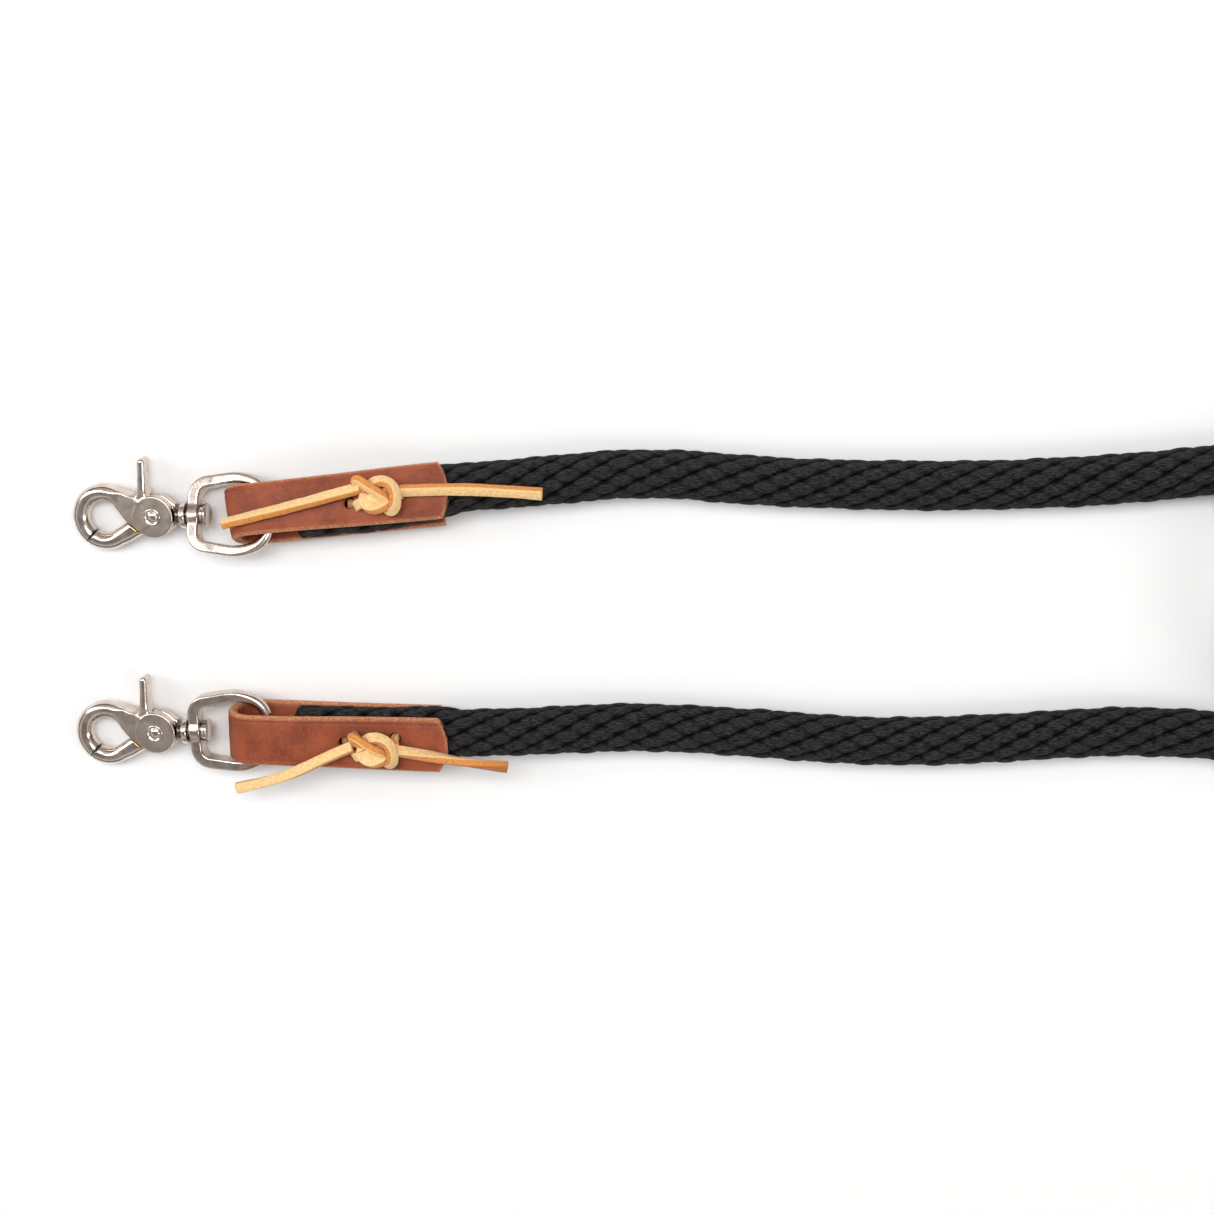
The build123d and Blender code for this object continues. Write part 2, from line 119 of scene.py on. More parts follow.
def snap_place(end):
    (origin, z), (_, x) = joint(f"lever_open_{end}"), joint(f"snap_swivel_{end}")
    return Place(origin, x, np.cross(z, x), z)


def tab_place(end):
    yaw, roll = math.radians(TAB_YAW[end]), math.radians(TAB_ROLL[end])
    x = np.array([math.cos(yaw), math.sin(yaw), 0.0])
    across = np.array([-math.sin(yaw), math.cos(yaw), 0.0])
    z = UP * math.cos(roll) + across * math.sin(roll)
    return Place(joint(f"eye_tilt_{end}")[0], x, np.cross(z, x), z)


# --- mesh helpers ---


def unit(vectors):
    return vectors / np.maximum(np.linalg.norm(vectors, axis=-1, keepdims=True), 1e-12)


def columns(*parts):
    return np.stack(parts, axis=-1)


def ramp(x, low, high):
    """0 before low, 1 after high, smooth between."""
    t = np.clip((x - low) / (high - low), 0, 1)
    return t * t * (3 - 2 * t)


def waves(x, y, seed, octaves=4):
    """Smooth seeded noise of two coordinates, about -1 to 1."""
    rng = np.random.default_rng(seed)
    total = np.zeros(np.broadcast(x, y).shape)
    for octave in range(octaves):
        a, b, c = rng.normal(size=3)
        total = total + np.sin(1.7**octave * (a * x + b * y) + 6 * c) / (1 + 0.6 * octave)
    return total / 2.0


def add_mesh(name, points, faces, material, attributes=None):
    """A smooth-shaded mesh object from points in millimetres."""
    mesh = bpy.data.meshes.new(name)
    mesh.from_pydata((np.asarray(points) * METRE).tolist(), [], [list(f) for f in faces])
    mesh.update()
    for label, values in (attributes or {}).items():
        layer = mesh.attributes.new(label, "FLOAT", "POINT")
        layer.data.foreach_set("value", np.asarray(values, np.float32).ravel())
    mesh.shade_smooth()
    mesh.materials.append(material)
    return add_object(name, mesh)


def grid_faces(rows, around):
    """Quads of a tube of rows rings with around points each."""
    i = np.arange(rows - 1)[:, None] * around
    j = np.arange(around)[None, :]
    k = (j + 1) % around
    return columns(i + j, i + k, i + around + k, i + around + j).reshape(-1, 4).tolist()


def tube_faces(rows, around, base=0):
    """The faces of a tube with both ends closed, its points numbered from base."""
    ends = [range(around)[::-1], [(rows - 1) * around + j for j in range(around)]]
    return [[base + i for i in face] for face in grid_faces(rows, around) + ends]


def full_turn(count):
    """Angles, in radians, evenly round a circle."""
    return np.arange(count) * 2 * math.pi / count


def tangents(points):
    return unit(np.gradient(points, axis=0))


def square_to(along, normals):
    """Normals with what lies along the unit tangents taken out."""
    return unit(normals - (normals * along).sum(1, keepdims=True) * along)


def swept(path, normals, sections):
    """Rings of points: each section's first number runs across the path, its second along the normal."""
    along = tangents(path)
    normals = square_to(along, normals)
    across = np.cross(normals, along)
    rings = path[:, None] + sections[..., :1] * across[:, None] + sections[..., 1:] * normals[:, None]
    return rings.reshape(-1, 3)


def carried(path, first):
    """A normal for each point of the path, carried along it without twisting."""
    along = tangents(path)
    out = np.zeros_like(path)
    normal = np.array(first, float)
    for i, t in enumerate(along):
        normal = normal - (normal @ t) * t
        normal /= np.linalg.norm(normal)
        out[i] = normal
    return out


def turned(vectors, about, degrees):
    """Vectors turned about unit axes, each by its own angle."""
    a = np.radians(np.asarray(degrees, float))[:, None]
    return vectors * np.cos(a) + np.cross(about, vectors) * np.sin(a)


def nurbs_line(name, points):
    """Points, in millimetres, of the smooth line that a route's control points make."""
    curve = bpy.data.curves.new(name, "CURVE")
    curve.dimensions = "3D"
    spline = curve.splines.new("NURBS")
    spline.points.add(len(points) - 1)
    for place, point in zip(spline.points, points):
        place.co = (*(np.array(point, float) * METRE), 1.0)
    spline.use_endpoint_u = True
    spline.order_u = 3
    spline.resolution_u = 24
    holder = bpy.data.objects.new(name, curve)
    mesh = bpy.data.meshes.new_from_object(holder)
    line = np.array([v.co for v in mesh.vertices], float) / METRE
    bpy.data.objects.remove(holder)
    bpy.data.curves.remove(curve)
    bpy.data.meshes.remove(mesh)
    return line


def evenly(line, step):
    """The line again with points at equal distances, and how far along each one is."""
    gaps = np.linalg.norm(np.diff(line, axis=0), axis=1)
    far = np.concatenate([[0.0], np.cumsum(gaps)])
    at = np.linspace(0, far[-1], int(round(far[-1] / step)) + 1)
    return columns(*(np.interp(at, far, part) for part in line.T)), at


def own(piece, body, slot, *nodes):
    """The piece rides on a body and stands for CAD nodes; slot is not used."""
    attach(piece, body)
    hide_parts(*nodes)


# --- materials ---


class Shader:
    """A node material, built step by step."""

    def __init__(self, name, color, roughness, metallic=0.0, specular=0.5, sheen=0.0):
        self.material = bpy.data.materials.new(name)
        self.material.use_nodes = True
        self.tree = self.material.node_tree
        self.surface = self.tree.nodes["Principled BSDF"]
        self.feed(self.surface, {"Base Color": (*color, 1.0), "Roughness": roughness, "Metallic": metallic})
        self.feed(self.surface, {"Specular IOR Level": specular, "Sheen Weight": sheen})

    def feed(self, node, inputs):
        """Gives a node's inputs a number, a colour or another node's output."""
        for key, value in inputs.items():
            if isinstance(value, bpy.types.NodeSocket):
                self.tree.links.new(value, node.inputs[key])
            else:
                node.inputs[key].default_value = value

    def node(self, kind, inputs, **settings):
        made = self.tree.nodes.new(kind)
        for key, value in settings.items():
            setattr(made, key, value)
        self.feed(made, inputs)
        return made.outputs

    def position(self):
        """The object's own coordinates."""
        return self.node("ShaderNodeTexCoord", {})["Object"]

    def attribute(self, name):
        return self.node("ShaderNodeAttribute", {}, attribute_name=name)["Fac"]

    def lay(self, along, around):
        """Coordinates that run along and round a swept piece, each in millimetres times a rate."""
        x = self.math("MULTIPLY", self.attribute("along"), along)
        y = self.math("MULTIPLY", self.attribute("round"), around)
        return self.node("ShaderNodeCombineXYZ", {"X": x, "Y": y})["Vector"]

    def noise(self, vector, scale, detail=4.0, roughness=0.55):
        inputs = {"Vector": vector, "Scale": scale, "Detail": detail, "Roughness": roughness}
        return self.node("ShaderNodeTexNoise", inputs)["Fac"]

    def voronoi(self, vector, scale):
        return self.node("ShaderNodeTexVoronoi", {"Vector": vector, "Scale": scale})["Distance"]

    def remap(self, value, low=0.3, high=0.7, to_low=0.0, to_high=1.0):
        inputs = {"Value": value, "From Min": low, "From Max": high, "To Min": to_low, "To Max": to_high}
        return self.node("ShaderNodeMapRange", inputs, interpolation_type="SMOOTHSTEP")["Result"]

    def math(self, operation, first, second):
        return self.node("ShaderNodeMath", {0: first, 1: second}, operation=operation)[0]

    def mix(self, factor, first, second):
        """A colour mix. Each end is a colour or another mix."""
        first, second = ((*end, 1.0) if isinstance(end, tuple) else end for end in (first, second))
        return self.node("ShaderNodeMix", {"Factor": factor, 6: first, 7: second}, data_type="RGBA")[2]

    def color(self, value):
        self.feed(self.surface, {"Base Color": value})

    def roughness(self, value):
        self.feed(self.surface, {"Roughness": value})

    def bump(self, *layers):
        """Layers of relief, each a height, how many millimetres deep it is, and its strength."""
        below = {}
        for height, depth, strength in layers:
            inputs = {"Height": height, "Distance": depth * METRE, "Strength": strength, **below}
            below = {"Normal": self.node("ShaderNodeBump", inputs)["Normal"]}
        self.feed(self.surface, below)


def rope_material():
    """Matt black filament yarn: fine streaks along the strands, with painted shade between them."""
    s = Shader("black_rope", (0.02, 0.02, 0.02), 0.7, specular=0.04, sheen=0.02)
    streaks = s.noise(s.lay(0.45, 2.6), 1.0, detail=6.0, roughness=0.75)
    fine = s.noise(s.lay(1.6, 13.0), 1.0, detail=3.0, roughness=0.7)
    height = s.attribute("height")
    lit = s.mix(s.remap(streaks, 0.38, 0.66), (0.005, 0.0047, 0.0048), (0.055, 0.052, 0.053))
    # Painted shade: where height is low, in the gaps between strands, the colour goes to near black.
    s.color(s.mix(s.remap(height, 0.28, 0.78), (0.0003, 0.0003, 0.0003), lit))
    s.roughness(s.remap(fine, 0.3, 0.7, 0.5, 0.78))
    s.bump((streaks, 0.35, 0.7), (fine, 0.16, 0.8))
    return s.material


def leather_material():
    """Oiled russet harness leather: pebbled grain, darker drifts, paler rubbed and cut edges."""
    s = Shader("russet_leather", (0.24, 0.075, 0.032), 0.5, specular=0.3)
    place = s.position()
    drift = s.noise(place, 95.0, detail=3.0)
    grain = s.noise(place, 1500.0, detail=3.0, roughness=0.6)
    pores = s.voronoi(place, 1900.0)
    body = s.mix(s.remap(drift, 0.35, 0.68), (0.19, 0.038, 0.0145), (0.3, 0.068, 0.0255))
    body = s.mix(s.remap(pores, 0.0, 0.32), (0.12, 0.03, 0.014), body)
    rubbed = s.mix(s.remap(grain, 0.35, 0.65), (0.4, 0.13, 0.052), (0.68, 0.32, 0.155))
    body = s.mix(s.remap(grain, 0.48, 0.7, 0.0, 0.35), body, (0.42, 0.125, 0.05))
    s.color(s.mix(s.attribute("edge"), body, rubbed))
    s.roughness(s.remap(grain, 0.3, 0.7, 0.45, 0.68))
    s.bump((grain, 0.16, 0.7), (pores, 0.07, 0.5))
    return s.material


def lace_material():
    """Latigo thong: cream flesh side, tan grain and edges, a soft fibrous surface."""
    s = Shader("lace", (0.75, 0.36, 0.12), 0.78, specular=0.25, sheen=0.15)
    fibre = s.noise(s.lay(0.9, 3.2), 1.0, detail=5.0, roughness=0.7)
    speck = s.noise(s.position(), 1600.0, detail=3.0, roughness=0.7)
    tan = s.mix(s.remap(fibre), (0.5, 0.16, 0.032), (0.76, 0.33, 0.085))
    cream = s.mix(s.remap(fibre), (0.7, 0.41, 0.15), (0.9, 0.66, 0.34))
    russet = s.mix(s.remap(fibre), (0.36, 0.095, 0.022), (0.58, 0.19, 0.048))
    s.color(s.mix(s.attribute("flesh"), s.mix(s.attribute("grain"), tan, russet), cream))
    s.bump((fibre, 0.22, 0.5), (speck, 0.12, 0.6))
    return s.material


def nickel_material():
    """Tumbled nickel plate: bright where it is rounded, satin and greyer on the flat disc, with painted
    shade in its recesses and notches.
    """
    s = Shader("nickel_plate", (0.66, 0.62, 0.57), 0.2, metallic=1.0)
    place = s.position()
    cloud = s.noise(place, 260.0, detail=4.0)
    pitting = s.noise(place, 2600.0, detail=3.0, roughness=0.7)
    satin = s.attribute("satin")
    bright = s.mix(s.remap(cloud), (0.63, 0.53, 0.465), (0.8, 0.7, 0.625))
    dull = s.mix(s.remap(pitting), (0.4, 0.335, 0.29), (0.6, 0.515, 0.455))
    plate = s.mix(satin, bright, dull)
    plate = s.mix(s.attribute("worn"), plate, (0.75, 0.4, 0.13))
    # Painted shade: a near-black colour laid over the plate in the throat, the notches, the paddle foot and
    # round the eye's boss.
    s.color(s.mix(s.attribute("painted_shade"), plate, (0.05, 0.036, 0.03)))
    s.roughness(s.math("ADD", s.remap(cloud, 0.3, 0.7, 0.1, 0.2), s.math("MULTIPLY", satin, 0.2)))
    s.bump((pitting, 0.03, 0.35))
    return s.material


def spring_material():
    s = Shader("spring_steel", (0.5, 0.5, 0.5), 0.32, metallic=1.0)
    s.roughness(s.remap(s.noise(s.position(), 3000.0), 0.3, 0.7, 0.25, 0.4))
    return s.material


def tie_material():
    """Black hook-and-loop tape."""
    s = Shader("tie_strap", (0.02, 0.02, 0.021), 0.85, specular=0.2)
    loops = s.voronoi(s.position(), 1400.0)
    s.color(s.mix(s.remap(loops, 0.1, 0.5), (0.035, 0.035, 0.036), (0.012, 0.012, 0.013)))
    s.bump((loops, 0.25, 0.8))
    return s.material


# --- rope ---

ROPE_R = 7.95
ROPE_POINTS = 64

# The braid: how many rows go each way round, how long each is, how deep its gaps are along the strong
# and the weak lines, how uneven its strands are, and how far its crowns stand out
ROWS = 8
LAY = 11.4
STRONG_GAP = 1.5
WEAK_GAP = 0.75
UNEVEN = 0.7
CROWN = 0.3
ROPE_STEP = LAY / 12

# Along a tab: where the rope inside starts, where it stops being squashed, and where it leaves
ROPE_START = 8.0
SQUASH_ENDS = 56.0
ROPE_EXIT = 66.0
SQUASHED = (9.0, 5.25)

# How far the rope has drifted sideways where it leaves each tab
ROPE_ASIDE = {"a": 2.4, "b": 1.2}

# Each strand from its tab to the hank
STRANDS = {
    "a": (
        (91.3, 45.4, 9.0), (125.3, 48.5, 8.0), (169.3, 44.4, 8.0), (215.3, 43.0, 8.0),
        (261.3, 43.8, 8.0), (305.3, 47.6, 8.0), (344.3, 51.7, 8.95),
    ),
    "b": (
        (87.3, -39.0, 8.6), (121.3, -37.0, 8.0), (159.3, -39.2, 8.0), (201.3, -42.4, 8.0),
        (242.3, -40.4, 8.0), (281.3, -37.4, 8.0), (317.3, -39.8, 8.2), (348.3, -43.7, 8.95),
    ),
}

HANK_LEFT = 367.3
HANK_RIGHT = 637.3
HANK_TOP = 51.7
HANK_FOLD_R = 47.7
HANK_LOW = 8.95
HANK_HIGH = 24.85
HANK_MIDDLE_Y = HANK_TOP - HANK_FOLD_R
TAPE_WIDTH = 22.0
TAPE_THICK = 0.9


def fold(centre_x, side, z_start, z_end):
    """Control points of half a turn: side 1 to the right, top to bottom, side -1 to the left and back."""
    points = []
    spread = HANK_FOLD_R / math.cos(math.radians(15))
    for angle in range(105, -106, -30):
        a = math.radians(angle) * side
        y = spread * math.sin(a)
        share = np.clip((y / HANK_FOLD_R * -side + 1) / 2, 0, 1)
        x = centre_x + side * spread * math.cos(a)
        points.append((x, HANK_MIDDLE_Y + y, z_start + (z_end - z_start) * share))
    return points


def rope_route():
    """From the exit of tab a, along its strand, round the hank and back to the exit of tab b."""
    hank = [
        *fold(HANK_RIGHT, 1, HANK_LOW, HANK_HIGH),
        *fold(HANK_LEFT, -1, HANK_HIGH, HANK_HIGH),
        *fold(HANK_RIGHT + 2 * ROPE_R, 1, HANK_HIGH, HANK_LOW),
    ]
    start, finish = (tab_place(end).out((ROPE_EXIT, ROPE_ASIDE[end], 0)) for end in ("a", "b"))
    return [start, *STRANDS["a"], *hank, *reversed(STRANDS["b"]), finish]


def braid(along, angle):
    """How deep the surface lies below ROPE_R, and its attributes: height is 0 in a gap, 1 on a crown, and
    sets the painted shade in the gaps.
    """
    u = along / LAY - ROWS * angle / (2 * math.pi)
    v = along / LAY + ROWS * angle / (2 * math.pi)
    wander = 0.06 * waves(along / 9.0, 3 * np.sin(angle), 31, octaves=3)
    u, v = u + wander, v + 0.5 * wander
    strong = np.abs(np.cos(math.pi * u)) ** 0.4
    weak = np.abs(np.cos(math.pi * v)) ** 0.6
    row, place = np.round(u), np.round(v)
    uneven = 0.16 * np.sin(12.9 * row + 78.2 * place) + 0.12 * np.sin(37.7 * row - 11.3 * place)
    depth = STRONG_GAP * (1 - strong) + WEAK_GAP * (1 - weak) + UNEVEN * (uneven + 0.28) * strong * weak
    return depth - CROWN, {"height": strong * (0.4 + 0.6 * weak), "along": along, "round": angle * ROPE_R}


def add_free_rope(material):
    """The rope between the tabs, with its lozenge lay."""
    path, at = evenly(nurbs_line("rope_route", rope_route()), ROPE_STEP)
    normals = carried(path, tab_place("a").axes[2])
    along = tangents(path)
    wanted = tab_place("b").axes[2]
    last = normals[-1]
    twist = math.degrees(math.atan2(np.cross(last, wanted) @ along[-1], last @ wanted))
    normals = turned(normals, along, twist * at / at[-1])
    s, a = np.meshgrid(at, full_turn(ROPE_POINTS), indexing="ij")
    depth, attributes = braid(s, a)
    radius = ROPE_R - depth
    points = swept(path, normals, columns(radius * np.sin(a), radius * np.cos(a)))
    rope = add_mesh("rope", points, grid_faces(len(path), ROPE_POINTS), material, attributes)
    own(rope, "root", "black_rope", "rope_run_a", "rope_run_b", "rope_hank")
    return rope, path, at[-1]


def add_rope_end(end, material, total):
    """The rope's end inside the tab, squashed flat there and round again where the free rope begins."""
    tab = tab_place(end)
    reach = np.arange(ROPE_EXIT, ROPE_START - ROPE_STEP / 2, -ROPE_STEP)
    heading = unit(np.array(STRANDS[end][0]) - tab.out((ROPE_EXIT, ROPE_ASIDE[end], 0)))
    x, a = np.meshgrid(reach, full_turn(ROPE_POINTS), indexing="ij")
    if end == "a":
        s, outward = x - ROPE_EXIT, 1.0
    else:
        s, outward = total + ROPE_EXIT - x, -1.0
    depth, attributes = braid(s, a)
    squash = 1 - ramp(x, SQUASH_ENDS, ROPE_EXIT)
    wide = ROPE_R + (SQUASHED[0] - ROPE_R) * squash
    deep = ROPE_R + (SQUASHED[1] - ROPE_R) * squash
    power = 2 + 0.8 * squash
    round_off = 1 - 0.55 * ramp(-x, -ROPE_START - 3.5, -ROPE_START) ** 2
    radius = ((np.abs(np.sin(a)) / wide) ** power + (np.abs(np.cos(a)) / deep) ** power) ** (-1 / power)
    radius = (radius - depth * (1 - 0.25 * squash)) * round_off
    lean = ramp(reach, SQUASH_ENDS, ROPE_EXIT)[:, None]
    along = unit(tab.axes[0] * (1 - lean) + heading * lean) * outward
    aside = ROPE_ASIDE[end] * ramp(reach, 34.0, ROPE_EXIT)
    centres = tab.out(columns(reach, aside, 0 * reach))
    normals = unit(tab.axes[2] - (along @ tab.axes[2])[:, None] * along)
    across = np.cross(normals, along)
    rings = centres[:, None] + (radius * np.sin(a))[..., None] * across[:, None]
    rings = (rings + (radius * np.cos(a))[..., None] * normals[:, None]).reshape(-1, 3)
    faces = grid_faces(len(reach), ROPE_POINTS)
    faces.append(list(range(len(rings) - ROPE_POINTS, len(rings))))
    if end == "a":
        faces = [f[::-1] for f in faces]
    piece = add_mesh(f"rope_in_tab_{end}", rings, faces, material, attributes)
    own(piece, "root", "black_rope", f"rope_end_{end}")


def add_hank_ties(material):
    """Two tapes, one round each side of the hank, with an overlapping end."""
    x = (HANK_LEFT + HANK_RIGHT) / 2
    points, faces = [], []
    for y in (HANK_TOP, HANK_TOP - 2 * HANK_FOLD_R):
        turn = np.linspace(-0.06, 1.1, 150)
        a = 2 * math.pi * turn
        radius = ROPE_R + 0.1 + TAPE_THICK / 2 + (TAPE_THICK + 0.15) * ramp(turn, 0.8, 1.0)
        lift = HANK_LOW + (HANK_HIGH - HANK_LOW) * ramp(np.cos(a), -0.25, 0.25)
        path = columns(x + 0 * a, y + radius * np.sin(a), lift + radius * np.cos(a))
        outward = columns(0 * a, np.sin(a), np.cos(a))
        path[:, 2] = np.maximum(path[:, 2], TAPE_THICK / 2)
        corners = rounded_section(TAPE_WIDTH / 2, TAPE_THICK / 2, 0.4)
        sections = np.broadcast_to(corners, (len(path), *corners.shape))
        faces += tube_faces(len(path), len(corners), base=len(points))
        points.extend(swept(path, outward, sections))
    piece = add_mesh("hank_tapes", points, faces, material)
    own(piece, "root", "tie_strap", "hank_tie")
    return piece


def rounded_section(half_wide, half_thick, radius, steps=3):
    """A closed rounded rectangle, counter-clockwise from its lower right corner."""
    points = []
    for sx, sy, start in ((1, -1, -90), (1, 1, 0), (-1, 1, 90), (-1, -1, 180)):
        for k in range(steps + 1):
            a = math.radians(start + 90 * k / steps)
            x = sx * (half_wide - radius) + radius * math.cos(a)
            points.append((x, sy * (half_thick - radius) + radius * math.sin(a)))
    return np.array(points)


# --- leather ---

# The strap: its thickness, half its width, and how many rows of points run along it
LEATHER = 3.2
TAB_HALF = 8.5
STRAP_ROWS = 230

# The fold: how far the layers' middles lie from the fold's own, where it is, and where the layers end
LAYER_Z = 6.9
FOLD_X = -5.0
FRONT_CORNER = 58.9
FRONT_TIP = 61.6
BACK_END = 56.9

HOLES = {"a": ((29.0, 0.0), (46.0, 0.8)), "b": ((27.0, -0.9), (44.2, 1.2))}
HOLE_R = 1.95
PUNCH_REACH = 14.0
PUNCH_POINTS = 40

# The front layer spreads towards its end, lies a little beside the back one, and its fold isn't square
FLARE = 0.09
LAYER_SHIFT = {"a": 1.4, "b": -1.3}
SKEW = {"a": 0.1, "b": 0.0}


def strap_section():
    """The strap's section: a burnished round at each edge and a crease beside it on the grain side."""
    half, edge = LEATHER / 2, 1.25
    flat = np.linspace(-TAB_HALF + edge, TAB_HALF - edge, 45)
    crease = 0.2 * np.exp(-(((np.abs(flat) - (TAB_HALF - 1.9)) / 0.28) ** 2))
    crown = 0.12 * (1 - (flat / TAB_HALF) ** 2)
    top = columns(flat, half - crease + crown)
    under = columns(flat[::-1][::3], -half + 0 * flat[::3])
    turn = np.radians(np.linspace(90, -90, 13)[1:-1])
    right = columns(TAB_HALF - edge + edge * np.cos(turn), half * np.sin(turn))
    left = columns(-TAB_HALF + edge - edge * np.cos(turn), -half * np.sin(turn))
    return np.concatenate([top, right, under, left])[::-1]


def add_leather_tab(end, material):
    """The folded strap, with its holes cut through both layers."""
    section = strap_section()
    arc = math.pi * LAYER_Z
    front = FRONT_TIP - FOLD_X
    total = front + arc + (BACK_END - FOLD_X)
    s = np.linspace(0, total, STRAP_ROWS)

    def near_ends(reach):
        return np.maximum(ramp(-s, -reach, 0.0), ramp(s, total - reach, total))[:, None]

    bend = np.clip((s - front) / LAYER_Z, 0, math.pi)
    x = np.where(s < front, FRONT_TIP - s, FOLD_X - LAYER_Z * np.sin(bend))
    x = np.where(s > front + arc, FOLD_X + (s - front - arc), x)
    z = LAYER_Z * np.cos(bend)
    path = columns(x, 0 * x, z)
    normals = columns(-np.sin(bend), 0 * bend, np.cos(bend))
    sections = np.broadcast_to(section, (STRAP_ROWS, *section.shape)).copy()
    flare = 1 + FLARE * ramp(x, 0.0, 55.0) * (z > 0)
    sections[..., 0] *= flare[:, None]
    dents = 0.13 * waves(s[:, None] / 9.0, sections[..., 0] / 5.0, 11 if end == "a" else 12)
    press = 0
    for hx, hy in HOLES[end]:
        press = press + np.exp(-(((x[:, None] - hx) / 5.5) ** 2) - ((sections[..., 0] - hy) / 5.0) ** 2)
    droop = 0.55 * (sections[..., 0] / TAB_HALF) ** 2 * ramp(x, 5.0, 30.0)[:, None]
    sections[..., 1] += dents - 0.35 * press - droop
    edge = np.clip((np.abs(sections[..., 0]) - (TAB_HALF * flare[:, None] - 1.15)) / 0.9, 0, 1)
    worn = np.clip(0.9 * edge + near_ends(0.9), 0, 1)
    points = swept(path, normals, sections).reshape(STRAP_ROWS, -1, 3)
    across = points[..., 1].copy()
    points[..., 0] -= SKEW[end] * across * (1 - ramp(points[..., 0], -2.0, 16.0))
    points[..., 1] += LAYER_SHIFT[end] * ramp(z, -LAYER_Z, LAYER_Z)[:, None]
    short = (FRONT_TIP - FRONT_CORNER) * (across / TAB_HALF) ** 2
    points[..., 0] -= short * ramp(-s, -10.0, 0.0)[:, None]
    pinch = 1 - 0.3 * near_ends(0.7)
    points[..., 2] = z[:, None] + (points[..., 2] - z[:, None]) * pinch
    points = tab_place(end).out(points.reshape(-1, 3))
    faces = tube_faces(STRAP_ROWS, len(section))
    piece = add_mesh(f"leather_loop_{end}", points, faces, material, {"edge": worn})
    cut_holes(piece, end)
    own(piece, "root", "russet_leather", f"leather_tab_{end}")


def cut_holes(piece, end):
    """Punches the lace holes through the mesh."""
    tab, angle = tab_place(end), full_turn(PUNCH_POINTS)
    for hx, hy in HOLES[end]:
        circle = columns(hx + HOLE_R * np.cos(angle), hy + HOLE_R * np.sin(angle), 0 * angle)
        rings = [tab.out(circle + [0, 0, z]) for z in (-PUNCH_REACH, PUNCH_REACH)]
        faces = tube_faces(2, PUNCH_POINTS)
        punch = add_mesh("punch", np.concatenate(rings), faces, piece.data.materials[0])
        cutter = piece.modifiers.new("punch", "BOOLEAN")
        cutter.object = punch
        cutter.operation = "DIFFERENCE"
        cutter.solver = "EXACT"
        graph = bpy.context.evaluated_depsgraph_get()
        made = bpy.data.meshes.new_from_object(piece.evaluated_get(graph))
        whole = piece.data
        piece.modifiers.clear()
        piece.data = made
        bpy.data.meshes.remove(whole)
        bpy.data.objects.remove(punch)


# --- lace ---

LACE_HALF = (1.75, 1.35)
LACE_STEP = 0.45
TAB_FACE = 8.5

# The tails: how far the flesh side leans, in degrees, at the start and at the end, and the points of
# each route in the tab's frame, near the CAD model's
TAILS = {
    "left_a": ((48.0, 74.0), ((33.6, 4.0, 11.5), (16.0, 1.1, 10.7), (1.0, -1.1, 10.5), (-12.8, -3.1, 10.7))),
    "right_a": ((28.0, 25.0), ((46.6, 1.8, 11.0), (61.0, 0.9, 10.8), (76.0, -0.8, 10.0), (92.0, -3.5, 8.6))),
    "left_b": (
        (35.0, 5.0),
        ((30.4, -1.2, 11.0), (21.5, -5.3, 10.6), (11.0, -11.1, 9.4), (0.0, -15.8, 7.4), (-10.4, -18.8, 5.2)),
    ),
    "right_b": (
        (-35.0, -150.0),
        ((43.6, -1.8, 11.3), (57.5, -3.9, 11.0), (70.0, -6.5, 9.0), (81.2, -7.9, 6.9)),
    ),
}


def lace_points(path, normals, scales, seed):
    """The thong's surface, with its attributes."""
    section = rounded_section(*LACE_HALF, 0.55)
    flesh = (section[:, 1] > LACE_HALF[1] - 0.3).astype(float)
    grain = (section[:, 1] < 0.3 - LACE_HALF[1]).astype(float)
    sections = section[None] * scales[:, None, :]
    at = np.concatenate([[0], np.cumsum(np.linalg.norm(np.diff(path, axis=0), axis=1))])
    s, g = np.meshgrid(at, np.arange(len(section)) * 0.9, indexing="ij")
    sections = sections * (1 + 0.045 * waves(s / 3.0, g / 2.0, seed))[..., None]
    points = swept(path, normals, sections)
    attributes = {"flesh": flesh + 0 * s, "grain": grain + 0 * s, "along": s, "round": g}
    return points, attributes, len(section)


def add_lace_tail(which, material):
    name, tab = f"lace_tail_{which}", tab_place(which[-1])
    lean, route = TAILS[which]
    path, at = evenly(nurbs_line(name, [tab.out(p) for p in route]), LACE_STEP)
    normals = turned(carried(path, UP), tangents(path), np.linspace(*lean, len(path)))
    square = np.ones((len(path), 2))
    points, attributes, around = lace_points(path, normals, square, seed=len(name) + ord(which[-1]))
    faces = tube_faces(len(path), around)
    piece = add_mesh(f"lace_end_{which}", points, faces, material, attributes)
    own(piece, "root", "lace", name)


